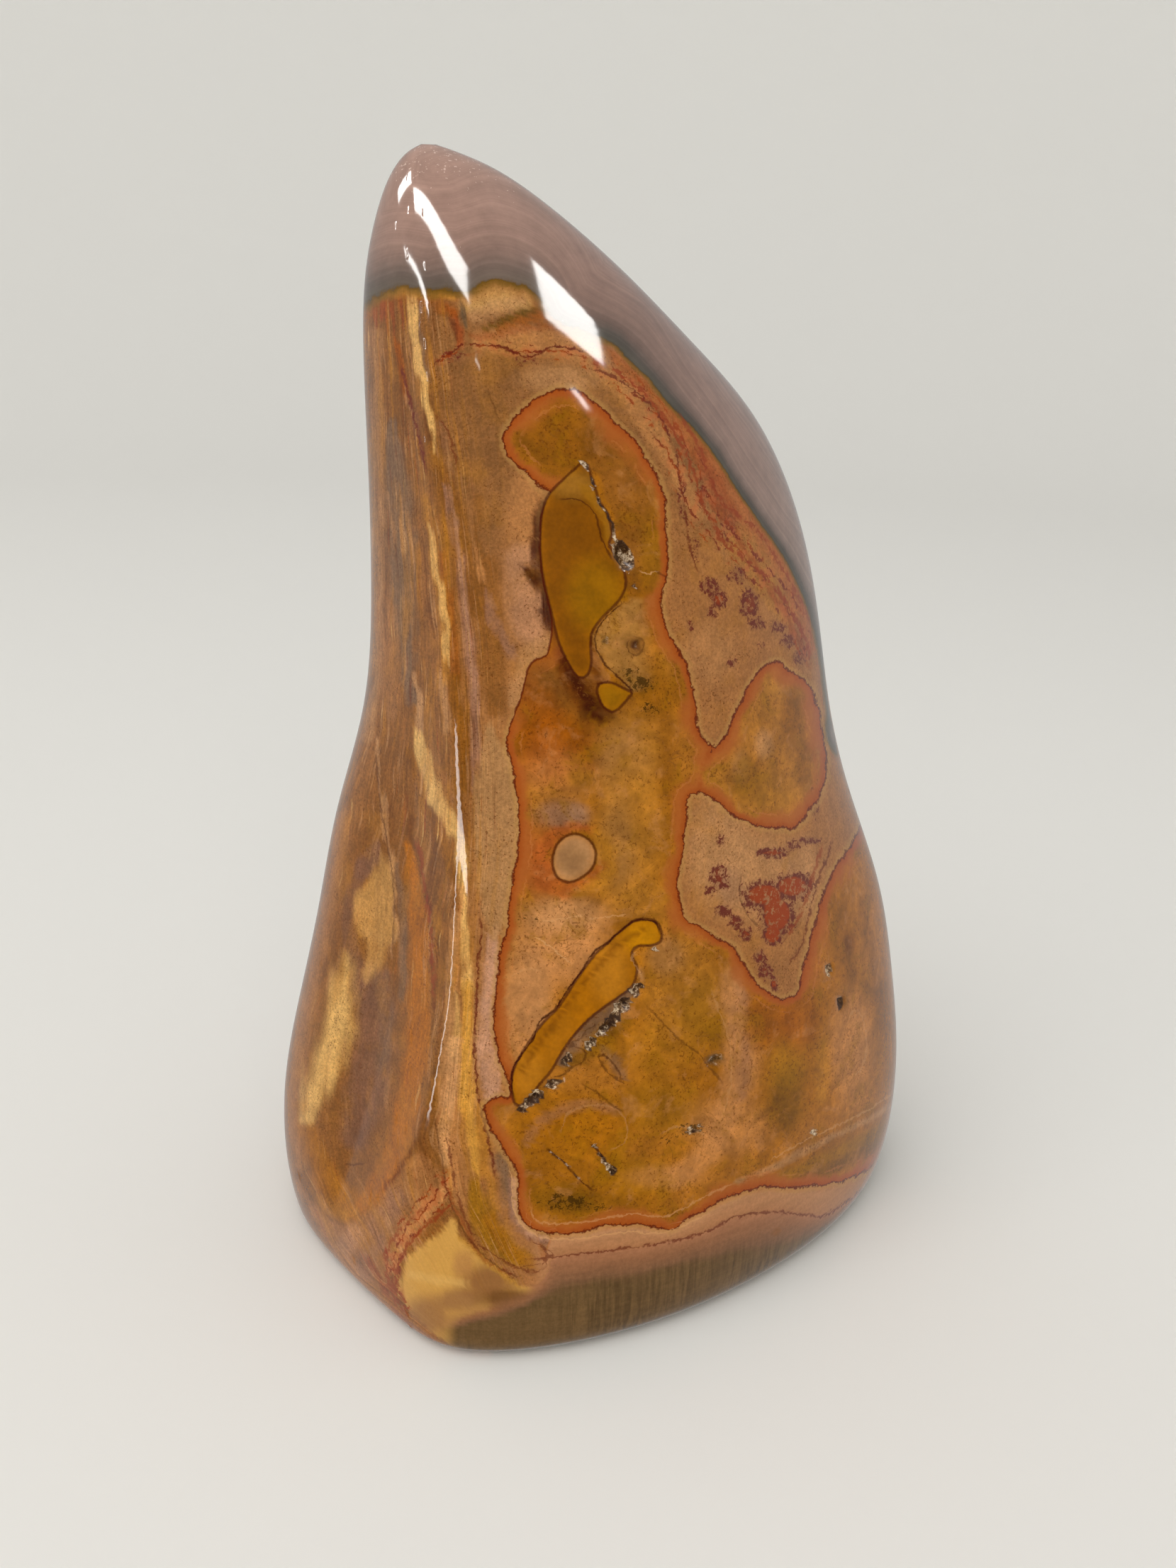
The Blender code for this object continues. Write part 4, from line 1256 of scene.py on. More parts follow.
def patch_mask(outline, x, y, softness=4.0):
    """1 inside a patch and 0 outside it, with a soft edge."""
    return smooth_step(depth_in(outline, x, y), -softness, softness)


def hollow_mask(x, y):
    """1 in the smooth hollow at the stone's lower left."""
    return smooth_step(y, *HOLLOW_TOP) * fades(x, *HOLLOW_SIDE) * fades(y, *HOLLOW_BOTTOM)


class Paint:
    """Colours laid over each other, one for each vertex."""

    def __init__(self, ground, count):
        """Starts with one colour all over."""
        self.colours = np.tile(np.array(own_colour(ground)), (count, 1))

    def lay(self, colour, strength, mask):
        """Lays one colour over what is there."""
        share = (strength * mask)[:, None]
        self.colours += (np.array(own_colour(colour)) - self.colours) * share

    def patch(self, colour, strength, outline, x, y, softness):
        """Lays one colour inside an outline."""
        self.lay(colour, strength, patch_mask(outline, x, y, softness))

    def strokes(self, strokes, x, y):
        """Lays soft strokes, one over the other."""
        for colour, strength, stroke in strokes:
            self.lay(colour, strength, stroke_mask(stroke, x, y))

    def spots(self, spots, x, y, within=1.0):
        """Lays soft oval spots, one over the other."""
        for colour, strength, middle, reach in spots:
            self.lay(colour, strength, within * spot_mask(middle, reach, x, y))


def photo_places(places, normals):
    """Where places fall in the photograph, and how squarely they face its camera."""
    turn = np.array(Euler(CAMERA_TURN, "XYZ").to_matrix())
    away = places - np.array(CAMERA_PLACE)
    seen = away @ turn
    x = PHOTO_WIDTH / 2 - FOCAL_LENGTH_PX * seen[:, 0] / seen[:, 2]
    y = PHOTO_HEIGHT / 2 + FOCAL_LENGTH_PX * seen[:, 1] / seen[:, 2]
    facing = -(away * normals).sum(axis=1) / np.linalg.norm(away, axis=1)
    return x, y, facing


def back_places(places, turns):
    """How far round from the middle of the back each place is, and its height, in millimetres."""
    height = places[:, 2] / MM
    from_back = (turns - 0.25 * TURN) % TURN - 0.5 * TURN
    return from_back * (BACK_WIDTH_AT_FOOT - BACK_WIDTH_LOSS * height), height


def line_fields(lines, x, y, units):
    """Signed distance in millimetres to the nearest line, and how strongly it shows there."""
    signed = np.full(x.shape, FAR_FROM_LINES)
    nearest = np.full(x.shape, np.inf)
    shows = np.zeros(x.shape)
    for strength, points in lines:
        distance, side, along = nearest_on_line(curve_through(points, steps=3), x, y)
        distance = distance / units
        ends = smooth_step(along, 0.0, 0.05) * fades(along, 0.95, 1.0)
        near = fades(distance, 0.5 * LINE_REACH, LINE_REACH)
        nearer = distance < nearest
        nearest = np.where(nearer, distance, nearest)
        signed = np.where(nearer, distance * np.where(side < 0, -1.0, 1.0), signed)
        shows = np.where(nearer, strength * ends * near, shows)
    return signed, shows


def all_line_fields(kinds, x, y, units):
    """The fields of each kind of line, under its name."""
    fields = {}
    for name, lines in kinds.items():
        fields[name], fields[name + "_shows"] = line_fields(lines, x, y, units)
    return fields


def band_fields(bands, x, y, units):
    """Signed distance in millimetres to the middle of the nearest band, and how strongly it shows."""
    signed = np.full(x.shape, FAR_FROM_LINES)
    shows = np.zeros(x.shape)
    for band in bands:
        distance, side, _ = nearest_on_line(np.array(band, dtype=float)[:, :2], x, y)
        here = stroke_mask(band, x, y)
        nearer = here > shows
        signed = np.where(nearer, distance / units * np.where(side < 0, -1.0, 1.0), signed)
        shows = np.where(nearer, here, shows)
    return signed, shows


def branch_field(spots, x, y):
    """Where small dark branches grow."""
    field = np.zeros(x.shape)
    for middle_x, middle_y, reach_x, reach_y, strength in spots:
        spot = strength * spot_mask((middle_x, middle_y), (reach_x, reach_y), x, y)
        field = np.maximum(field, spot)
    return field


def layer_place(x, y, lines):
    """Which layer of the foot a place is in: 0 at the first line, 1 at the second and so on."""
    heights = [value_along(line, x) for line in lines]
    layer = np.where(y < heights[0], (y - heights[0]) / FOOT_RIM_FADES_OVER, 0.0)
    for upper, lower in zip(heights[:-1], heights[1:]):
        layer += np.clip((y - upper) / np.maximum(lower - upper, 1.0), 0.0, 1.0)
    return layer


def pit_fields(x, y):
    """How deep the open pits and furrows are in millimetres, and how much crystal lines them."""
    depth = np.zeros(x.shape)
    crystal = np.zeros(x.shape)
    for (middle_x, middle_y), reach_x, reach_y, tilt, deep, lining in PITS:
        angle = np.radians(tilt)
        out_x = (x - middle_x) * np.cos(angle) + (y - middle_y) * np.sin(angle)
        out_y = (y - middle_y) * np.cos(angle) - (x - middle_x) * np.sin(angle)
        out = np.hypot(out_x / reach_x, out_y / reach_y)
        depth = np.maximum(depth, deep * fades(out, *PIT_SLOPE))
        crystal = np.maximum(crystal, lining * fades(out, *PIT_LINING_EDGE))
    for deep, lining, stroke in FURROWS:
        mask = stroke_mask(stroke, x, y) * (0.62 + 0.5 * ripple(x, y, 12, 9))
        depth = np.maximum(depth, deep * np.clip(mask, 0.0, 1.0))
        crystal = np.maximum(crystal, lining * smooth_step(mask, 0.2, 0.5))
    return depth, crystal


def field_paint(x, y):
    """The colours that the photograph shows round the body."""
    drift_x = x + PAINT_DRIFT * (ripple(x, y, 24, 1) + ripple(x, y / 8, 7, 3))
    drift_y = y + PAINT_DRIFT * ripple(x, y, 34, 2)
    ragged_x = drift_x + RAGGED_DRIFT * ripple(x, y / 5, 9, 4)
    field = Paint(TAN, x.size)
    field.lay(TAN_DEEP, 0.8, fades(y, *SHADED_TOP))
    field.lay(BROWN, 0.6, fades(x - value_along(CREST, y), *PAST_CREST))
    field.strokes(FIELD_STROKES, drift_x, drift_y)
    field.patch(STRIP_TAN, 0.85, STRIP_OUTLINE, drift_x, y, 2)
    field.lay(BROWN, 0.5, smooth_step(y, *HOLLOW_PAINT_TOP) * fades(x, *HOLLOW_PAINT_SIDE))
    field.strokes(HOLLOW_STROKES, drift_x, drift_y)
    field.patch(MAUVE_DARK, 0.85, HOLLOW_DARK, drift_x, y, 2)
    field.patch(HOLLOW_YELLOW, 0.75, HOLLOW_YELLOW_UPPER, ragged_x, y, 6)
    field.patch(CREAM, 0.7, HOLLOW_YELLOW_LOWER, ragged_x, y, 11)
    field.strokes(HOLLOW_YELLOW_STROKES, ragged_x, y)
    field.patch(TAN, 0.9, FACET_OUTLINE, drift_x, y, 3)
    field.strokes(FACET_STROKES, drift_x, y)
    field.patch(CREAM_GROUND, 0.95, CREAM_OUTLINE, drift_x, y, 2)
    field.spots(CREAM_SPOTS, drift_x, y)
    field.strokes(CREAM_STROKES + COLUMN_FOOT_STROKES + SHOULDER_STROKES, drift_x, y)
    field.spots(TRIANGLE_SPOTS, x, y)
    return field.colours


def body_paint(x, y):
    """The colours that the photograph shows in the amber body and in the oval beside it."""
    body = Paint(AMBER, x.size)
    body.lay(SALMON, 0.12, smooth_step(ripple(x, y, 90, 5), -0.2, 0.8))
    body.lay(AMBER_BROWN, 0.35, smooth_step(ripple(x, y, 70, 6), 0.0, 0.9))
    body.spots(BODY_SPOTS, x, y)
    body.strokes(BODY_STROKES, x + BODY_DRIFT * ripple(x, y, 10, 8), y)
    body.lay(KNOB_TAN, 0.9, patch_mask(KNOB_OUTLINE, x, y, 2) * fades(x, *KNOB_FADES))
    body.spots(KNOB_SPOTS, x, y)
    in_oval = patch_mask(OVAL_OUTLINE, x, y, 1)
    body.lay(OVAL_AMBER, 1.0, in_oval)
    body.spots(OVAL_SPOTS, x, y, in_oval)
    return body.colours


def inset_paint(x, y):
    """The colours of the insets: the pod, the leaf, the round eye and the chip."""
    inset = Paint(AMBER_CLEAR, x.size)
    inset.patch(AMBER_DEEP, 1.0, POD_OUTLINE, x, y, INSET_SOFTNESS)
    inset.spots(POD_SPOTS, x, y)
    inset.strokes(POD_STROKES, x, y)
    inset.spots(LEAF_SPOTS, x, y)
    inset.strokes(LEAF_STROKES, x, y)
    inset.patch(TAN_LIGHT, 1.0, EYE_OUTLINE, x, y, INSET_SOFTNESS)
    inset.spots(EYE_SPOTS, x, y)
    inset.patch(CHIP_AMBER, 0.9, CHIP_OUTLINE, x, y, INSET_SOFTNESS)
    return inset.colours


def back_paint(around, height):
    """The colours of the sides and the back, in the manner of the front's."""
    field = Paint(TAN, around.size)
    field.lay(TAN_DEEP, 0.6, smooth_step(ripple(around, height, 22, 11), -0.2, 0.8))
    drift = around + 1.5 * ripple(around, height, 5, 12)
    field.lay(BROWN, 0.6, smooth_step(drift, *BACK_BROWN_FROM))
    field.spots(BACK_FIELD_SPOTS, drift, height)
    body = Paint(AMBER, around.size)
    body.lay(SALMON, 0.25, smooth_step(ripple(around, height, 16, 13), -0.1, 0.8))
    body.lay(AMBER_BROWN, 0.5, smooth_step(ripple(around, height, 12, 14), 0.0, 0.9))
    body.spots(BACK_SPOTS, around, height)
    return field.colours, body.colours


def front_fields(x, y):
    """The markings that the photograph shows, as distances in millimetres and as shares."""
    lobe = spot_mask(LOBE_MIDDLE, LOBE_REACH, x, y)
    body = np.maximum(depth_in(BODY_OUTLINE, x, y), depth_in(OVAL_OUTLINE, x, y)) / PX_PER_MM
    insets = [depth_in(outline, x, y) for outline in
              (POD_OUTLINE, LEAF_OUTLINE, EYE_OUTLINE, CHIP_OUTLINE)]
    rim_glow = np.ones(x.shape)
    for middle, reach, dimmed in RIM_DIMMED:
        rim_glow *= 1.0 - dimmed * spot_mask(middle, reach, x, y)
    veins, veins_show = band_fields(VEIN_BANDS, x, y, PX_PER_MM)
    crest = value_along(CREST, y)
    reach = np.maximum(crest - value_along(LEFT_EDGE, y), CREST_LEAST_REACH)
    right_of_crest = (crest - x) / STREAK_PITCH_PAST_CREST
    past_crest = smooth_step(x - crest, *STREAKS_PAST_CREST)
    cap_closes = 1.0 + sum(closer * smooth_step(x, low, high) for low, high, closer in CAP_CLOSES)
    foot = layer_place(x, y, (FOOT_RIM, FOOT_LINE, FOOT_GREY, FOOT_END))
    foot_left = fades(x, *FOOT_LEFT_END)
    under_rim = smooth_step(y - value_along(FOOT_RIM, x), *UNDER_FOOT_RIM)
    foot_shows = smooth_step(x, *FOOT_SIDE) * smooth_step(y, *FOOT_TOP)
    kinds = {"crack": CRACKS, "thread": THREADS, "rust": RUST_LINES, "pale": PALE_LINES}
    return {
        "body": np.where(body > 0, body * (1.0 - LOBE_THINS * lobe), body),
        "inset": np.max(insets, axis=0) / PX_PER_MM,
        "rim_glow": rim_glow,
        "cap": depth_in(CAP_OUTLINE, x, y) / PX_PER_MM * cap_closes,
        "foot": foot + foot_left * np.maximum(FOOT_LEFT_LAYER - foot, 0.0),
        "foot_shows": foot_shows * (1.0 - foot_left * (1.0 - under_rim)),
        **all_line_fields(kinds, x, y, PX_PER_MM),
        "veins": veins,
        "veins_shows": veins_show,
        "branches": branch_field(BRANCH_SPOTS, x, y),
        "across": np.where(x < crest, STREAKS_ACROSS * (crest - x) / reach, right_of_crest),
        "streaks": (1.0 - STREAKS_LOST_PAST_CREST * past_crest)
        * (1.0 - STREAKS_LOST_IN_HOLLOW * hollow_mask(x, y)),
        "calm": CREAM_CALM * patch_mask(CREAM_OUTLINE, x, y, 4),
    }


def back_fields(around, height):
    """The markings of the sides and the back."""
    edge = np.interp(around, *curve_through(BACK_CAP_EDGE, steps=6).T)
    stays = fades(around, *BACK_FOOT_SINKS)
    waver = BACK_FOOT_WAVER * ripple(around, height * 0, 16, 21) - BACK_FOOT_SINKS_BY * (1.0 - stays)
    rim, line, grey, end = [level * stays + waver for level in BACK_FOOT]
    layers = np.array((end, grey, line, rim))
    foot = np.array([np.interp(h, column, (3.0, 2.0, 1.0, 0.0)) for h, column in zip(height, layers.T)])
    under_cap = np.abs(height - edge + BACK_VEINS_UNDER_CAP)
    kinds = {"crack": BACK_CRACKS, "thread": BACK_THREADS, "rust": (), "pale": ()}
    return {
        "body": np.maximum(depth_in(BACK_BODY, around, height), depth_in(BACK_OVAL, around, height)),
        "inset": depth_in(BACK_LEAF, around, height),
        "rim_glow": np.full(around.size, BACK_RIM_GLOW),
        "cap": (height - edge) * BACK_CAP_SPREAD,
        "foot": np.where(height > rim, (rim - height) / BACK_FOOT_FADES_OVER, foot),
        "foot_shows": np.ones(around.size),
        **all_line_fields(kinds, around, height, 1.0),
        "veins": height - edge,
        "veins_shows": fades(under_cap, *BACK_VEINS_EDGE) * (around < BACK_VEINS_END),
        "branches": branch_field(BACK_BRANCHES, around, height),
        "across": around / BACK_STREAK_PITCH,
        "streaks": 0.2 + 0.8 * smooth_step(around, *BACK_STREAKS_FROM),
        "calm": np.zeros(around.size),
    }


def keep_share(mesh, name, values):
    """Keeps one number for each vertex, for the material to read."""
    mesh.attributes.new(name, "FLOAT", "POINT").data.foreach_set("value", values.astype(np.float32))


def keep_colour(mesh, name, colours):
    """Keeps one colour for each vertex, for the material to read."""
    layer = mesh.attributes.new(name, "FLOAT_COLOR", "POINT")
    layer.data.foreach_set("color", colours.astype(np.float32).ravel())


def mark_stone(stone, turns):
    """Lays the markings on the stone: the traced front, and the made-up sides and back."""
    mesh = stone.data
    places, normals = vertex_values(mesh, "co"), vertex_values(mesh, "normal")
    x, y, facing = photo_places(places, normals)
    around, height = back_places(places, turns)
    front = smooth_step(facing, *FRONT_SHOWS)
    ahead, behind = front_fields(x, y), back_fields(around, height)
    for name in ahead:
        mixed = ahead[name] * front + behind[name] * (1.0 - front)
        if name in LINE_NAMES:
            mixed = np.where(front > 0.5, ahead[name], behind[name])
        elif name.endswith("_shows") and name != "foot_shows":
            mixed *= np.abs(2.0 * front - 1.0)
        keep_share(mesh, name, mixed)
    seen, unseen = (field_paint(x, y), body_paint(x, y)), back_paint(around, height)
    for name, shown, made_up in zip(("field_colour", "body_colour"), seen, unseen):
        keep_colour(mesh, name, shown * front[:, None] + made_up * (1.0 - front[:, None]))
    keep_colour(mesh, "inset_colour", inset_paint(x, y))


def open_pits(stone):
    """Opens the small pits and furrows in the broad face, with rough crystal in them."""
    mesh = stone.data
    places, normals = vertex_values(mesh, "co"), vertex_values(mesh, "normal")
    x, y, facing = photo_places(places, normals)
    depth, crystal = pit_fields(x, y)
    open_here = smooth_step(facing, *PITS_SHOW)
    crystal *= open_here
    chance = np.random.default_rng(7)
    lumps = chance.uniform(*CRYSTAL_LUMPS, x.size) * crystal * smooth_step(depth, 0.1, 0.5)
    inward = (depth * open_here + lumps) * MM
    low, high = np.array(cad_box[0]), np.array(cad_box[1])
    kept = np.clip(places - normals * inward[:, None], low, high)
    mesh.vertices.foreach_set("co", kept.ravel())
    keep_share(mesh, "crystal", crystal)
    mesh.update()


# Finish of the polished stone.
POLISH_ROUGHNESS = 0.07
CRYSTAL_ROUGHNESS = 0.35
STONE_IOR = 1.54


class Recipe:
    """A material's nodes, written in the order in which they work."""

    def __init__(self, name):
        """Starts a material with its surface shader and its pattern's place on the piece."""
        self.material = bpy.data.materials.new(name)
        self.material.use_nodes = True
        self.tree = self.material.node_tree
        self.surface = self.tree.nodes["Principled BSDF"]
        self.place = self.node("TexCoord").outputs["Object"]

    def node(self, kind, *feeds, **settings):
        """Adds a node, sets it and feeds its inputs in order."""
        made = self.tree.nodes.new("ShaderNode" + kind)
        for name, value in settings.items():
            setattr(made, name, value)
        for socket, feed in zip(made.inputs, feeds):
            self.feed(socket, feed)
        return made

    def feed(self, socket, feed):
        """Links a socket, or sets it to a value. A colour of three numbers is one as seen."""
        if isinstance(feed, bpy.types.NodeSocket):
            self.tree.links.new(feed, socket)
        elif feed is not None:
            as_seen = socket.type == "RGBA" and len(feed) == 3
            socket.default_value = own_colour(feed) if as_seen else feed

    def share(self, name):
        """One of the stone's kept numbers."""
        return self.node("Attribute", attribute_name=name).outputs["Fac"]

    def colour(self, name):
        """One of the stone's kept colours."""
        return self.node("Attribute", attribute_name=name).outputs["Color"]

    def squeezed(self, scale):
        """The place on the piece with its axes scaled, for a grain that is drawn out."""
        return self.node("Mapping", self.place, None, None, scale).outputs[0]

    def math(self, operation, *feeds):
        """One sum or other step of arithmetic."""
        return self.node("Math", *feeds, operation=operation).outputs[0]

    def times(self, first, second):
        """The product of two values."""
        return self.math("MULTIPLY", first, second)

    def plus(self, first, second):
        """The sum of two values."""
        return self.math("ADD", first, second)

    def rise(self, value, low, high, to_low=0.0, to_high=1.0):
        """Goes smoothly from one value to another as the input goes from low to high."""
        return self.node(
            "MapRange", value, low, high, to_low, to_high, interpolation_type="SMOOTHSTEP"
        ).outputs[0]

    def grain(self, size, detail=3.0, roughness=0.5, distortion=0.0, place=None):
        """Random unevenness about 0.5, with features of the given size in millimetres."""
        made = self.node("TexNoise")
        self.feed(made.inputs["Vector"], place or self.place)
        self.feed(made.inputs["Scale"], 1.0 / (size * MM) if place is None else 1.0 / size)
        self.feed(made.inputs["Detail"], detail)
        self.feed(made.inputs["Roughness"], roughness)
        self.feed(made.inputs["Distortion"], distortion)
        return made.outputs["Fac"]

    def waver(self, reach, size, detail=3.0, roughness=0.5):
        """Random unevenness about 0 with the given reach, and its size in millimetres."""
        return self.times(self.plus(self.grain(size, detail, roughness), -0.5), reach)

    def blend(self, under, over, share, way="MIX"):
        """Lays one colour over another."""
        made = self.node("Mix", data_type="RGBA", blend_type=way)
        self.feed(made.inputs["Factor"], share)
        for socket, feed in ((made.inputs[6], under), (made.inputs[7], over)):
            self.feed(socket, feed)
        return made.outputs[2]

    def ramp(self, value, stops):
        """Colours along a value that runs from 0 to 1."""
        made = self.node("ValToRGB", value)
        elements = made.color_ramp.elements
        while len(elements) < len(stops):
            elements.new(0.5)
        for element, (place, colour) in zip(elements, stops):
            element.position = place
            element.color = own_colour(colour)
        return made.outputs["Color"]

    def lit(self, colour, amount):
        """Makes a colour lighter or darker by an amount about 1."""
        grey = self.node("CombineColor", amount, amount, amount).outputs[0]
        return self.blend(colour, grey, 1.0, "MULTIPLY")

    def mottled(self, colour, unevenness, darkest, lightest):
        """Makes a colour darker and lighter from place to place."""
        return self.lit(colour, self.rise(unevenness, 0.3, 0.7, darkest, lightest))


def streaks(recipe, across, width, length, detail=3.0):
    """Random unevenness drawn out along the crest, with its width and length in millimetres."""
    height = recipe.node("SeparateXYZ", recipe.place).outputs["Z"]
    along = recipe.node(
        "CombineXYZ", recipe.times(across, 1.0 / width), recipe.times(height, 1.0 / (length * MM)), 0.0
    ).outputs[0]
    return recipe.grain(1.0, detail, 0.6, 0.0, along)


def streak_looks(recipe, colour):
    """Fine streaks that follow the crest on the stone's left."""
    shows = recipe.share("streaks")
    bend = recipe.waver(1.6, 14.0, 2.0)
    across = recipe.plus(recipe.share("across"), bend)
    broad = streaks(recipe, across, 1.1, 20.0)
    middle = streaks(recipe, across, 0.42, 11.0)
    fine = streaks(recipe, across, 0.15, 5.0)
    layers = (
        (BROWN_DEEP, recipe.rise(broad, 0.47, 0.3, 0.0, 0.45)),
        (GOLD, recipe.rise(broad, 0.52, 0.66, 0.0, 0.4)),
        (TAN_LIGHT, recipe.rise(middle, 0.55, 0.7, 0.0, 0.55)),
        (BROWN_DEEP, recipe.rise(middle, 0.42, 0.28, 0.0, 0.5)),
        (RUST, recipe.rise(streaks(recipe, across, 0.3, 12.0), 0.62, 0.7, 0.0, 0.45)),
        (YELLOW, recipe.rise(streaks(recipe, across, 0.22, 12.0), 0.64, 0.72, 0.0, 0.5)),
    )
    for ink, share in layers:
        colour = recipe.blend(colour, ink, recipe.times(shows, share))
    brushed = recipe.rise(fine, 0.3, 0.7, -0.17, 0.17)
    return recipe.lit(colour, recipe.plus(recipe.times(shows, brushed), 1.0))


def dotted(recipe, size, sparse):
    """Where fine dark dots lie, more in some places than in others."""
    where = recipe.times(recipe.grain(5.0, 2.0), 0.3)
    return recipe.rise(recipe.plus(recipe.grain(size, 1.5, 0.6), where), sparse, sparse + 0.05)


def branched(recipe):
    """Where small dark branches have grown."""
    spots = recipe.share("branches")
    growth = recipe.plus(recipe.grain(0.9, 7.0, 0.8, 0.5), recipe.times(spots, 0.14))
    return recipe.times(recipe.rise(growth, 0.6, 0.617), recipe.rise(spots, 0.12, 0.3))


def field_looks(recipe):
    """The speckled tan ground round the body, with its streaks and small dark branches."""
    colour = streak_looks(recipe, recipe.colour("field_colour"))
    colour = recipe.mottled(colour, recipe.grain(3.2, 5.0, 0.68), 0.86, 1.15)
    clouds = recipe.rise(recipe.grain(7.0, 4.0, 0.6), 0.5, 0.7, 0.0, 0.3)
    colour = recipe.blend(colour, GOLD_TAN, clouds)
    colour = recipe.mottled(colour, recipe.grain(0.4, 3.0, 0.7), 0.84, 1.16)
    colour = recipe.blend(colour, BROWN_DEEP, recipe.times(dotted(recipe, 0.3, 0.79), 0.6))
    colour = recipe.blend(colour, recipe.colour("field_colour"), recipe.share("calm"))
    spots = recipe.share("branches")
    colour = recipe.blend(colour, BRANCH_STAIN, recipe.rise(spots, 0.2, 1.2, 0.0, 0.35))
    ink = recipe.blend(BRANCH_WINE, BRANCH_RUST, recipe.rise(spots, 1.0, 1.13))
    return recipe.blend(colour, ink, recipe.times(branched(recipe), 0.92))


def vein_looks(recipe, colour):
    """Close jagged rusty lines beside the cap's edge and at the foot."""
    wander = recipe.waver(3.4, 3.0, 3.0, 0.6)
    jag = recipe.waver(1.5, 0.6, 3.0, 0.65)
    out = recipe.plus(recipe.plus(recipe.share("veins"), wander), jag)
    weight = recipe.rise(recipe.grain(1.3, 2.0), 0.35, 0.65, 0.14, 0.4)
    line = recipe.rise(recipe.math("PINGPONG", out, 0.8), weight, 0.08)
    broken = recipe.rise(recipe.grain(1.6, 3.0), 0.42, 0.5)
    veined = recipe.share("veins_shows")
    shows = recipe.times(recipe.times(line, broken), recipe.rise(veined, 0.1, 0.5))
    glow = recipe.times(veined, recipe.rise(recipe.grain(1.6, 3.0), 0.48, 0.66, 0.0, 0.55))
    colour = recipe.blend(colour, VEIN_GLOW, glow)
    ink = recipe.blend(VEIN_WINE, VEIN_RUST, recipe.rise(recipe.grain(3.0), 0.42, 0.58))
    return recipe.blend(colour, ink, recipe.times(shows, 0.9))


def foot_looks(recipe, colour):
    """The layers at the foot: pinkish tan, mauve, then grey with fine upright lines."""
    layer = recipe.plus(recipe.share("foot"), recipe.waver(0.3, 4.0, 4.0, 0.6))
    layers = recipe.ramp(recipe.times(layer, 1.0 / 3.0), FOOT_LAYERS)
    upright = recipe.grain(0.7 * MM, 3.0, 0.6, 0.0, recipe.squeezed((1.0, 1.0, 0.06)))
    patchy = recipe.rise(recipe.grain(16.0), 0.4, 0.6, 0.25, 1.0)
    combed = recipe.times(recipe.rise(upright, 0.35, 0.65, -0.3, 0.2), patchy)
    deep = recipe.rise(layer, 1.4, 2.3)
    layers = recipe.lit(layers, recipe.plus(recipe.times(deep, combed), 1.0))
    seams = recipe.grain(0.9 * MM, 3.0, 0.6, 0.0, recipe.squeezed((0.1, 0.1, 1.0)))
    layers = recipe.mottled(layers, seams, 0.93, 1.07)
    layers = recipe.mottled(layers, recipe.grain(0.5, 3.0, 0.7), 0.9, 1.1)
    shows = recipe.times(recipe.rise(layer, -0.12, 0.06), recipe.share("foot_shows"))
    return recipe.blend(colour, layers, shows)


def cap_looks(recipe, colour):
    """The mauve cap: dark grey over a yellowish fringe, fading to pink at the tip, and a painted sheen
    on its right side.
    """
    up = recipe.plus(recipe.share("cap"), recipe.waver(2.6, 2.4, 4.0, 0.65))
    fringe = recipe.rise(up, -1.8, -0.5)
    colour = recipe.blend(colour, ORANGE_BROWN, recipe.times(recipe.rise(up, -3.6, -1.2), 0.35))
    colour = recipe.blend(colour, FRINGE_YELLOW, recipe.times(fringe, 0.8))
    colour = recipe.blend(colour, OLIVE_DARK, recipe.times(recipe.rise(up, -0.7, 0.0), 0.7))
    cap = recipe.ramp(recipe.times(up, 1.0 / 20.0), CAP_LAYERS)
    place = recipe.node("SeparateXYZ", recipe.place).outputs
    # Painted sheen: the cap turns lighter grey towards its right side and higher up in it, where a
    # reflection would fall.
    painted_sheen = recipe.times(recipe.rise(place["X"], -0.005, 0.03, 0.0, 0.4), recipe.rise(up, 1.5, 7.0))
    cap = recipe.blend(cap, CAP_PAINTED_SHEEN, painted_sheen)
    cap = recipe.blend(cap, CAP_PINK, recipe.rise(place["Z"], 0.14, 0.166, 0.0, 0.85))
    bands = recipe.plus(recipe.share("cap"), recipe.times(recipe.grain(18.0, 2.0), 4.0))
    thin = recipe.node("CombineXYZ", bands, 0.0, 0.0).outputs[0]
    cap = recipe.mottled(cap, recipe.grain(1.6, 4.0, 0.7, 0.0, thin), 0.86, 1.13)
    cap = recipe.mottled(cap, recipe.grain(5.0, 4.0, 0.7), 0.9, 1.1)
    flakes = recipe.plus(recipe.grain(0.5, 2.0), recipe.rise(place["Z"], 0.154, 0.163, 0.0, 0.16))
    cap = recipe.blend(cap, CAP_FLAKES, recipe.rise(flakes, 0.79, 0.82, 0.0, 0.8))
    return recipe.blend(colour, cap, recipe.rise(up, -0.2, 0.3))


def body_ground(recipe):
    """The amber of the body, with its clouds, faint rings and grains."""
    body = recipe.colour("body_colour")
    swirl = recipe.grain(7.0, 4.0, 0.55, 1.1)
    body = recipe.mottled(body, swirl, 0.79, 1.2)
    body = recipe.mottled(body, recipe.grain(2.2, 4.0, 0.6), 0.9, 1.1)
    hue = recipe.grain(5.0, 5.0, 0.65, 0.6)
    body = recipe.blend(body, OLIVE, recipe.rise(hue, 0.52, 0.68, 0.0, 0.5))
    body = recipe.blend(body, SALMON, recipe.rise(hue, 0.46, 0.32, 0.0, 0.35))
    rings = recipe.rise(recipe.math("PINGPONG", swirl, 0.045), 0.009, 0.002)
    patchy = recipe.rise(recipe.grain(4.5, 3.0), 0.48, 0.62, 0.0, 0.55)
    body = recipe.blend(body, BROWN, recipe.times(rings, patchy))
    body = recipe.mottled(body, recipe.grain(0.9, 5.0, 0.75), 0.84, 1.16)
    body = recipe.blend(body, BROWN_DEEP, recipe.times(dotted(recipe, 0.38, 0.76), 0.5))
    return recipe.blend(body, BODY_BRANCH, recipe.times(branched(recipe), 0.85))


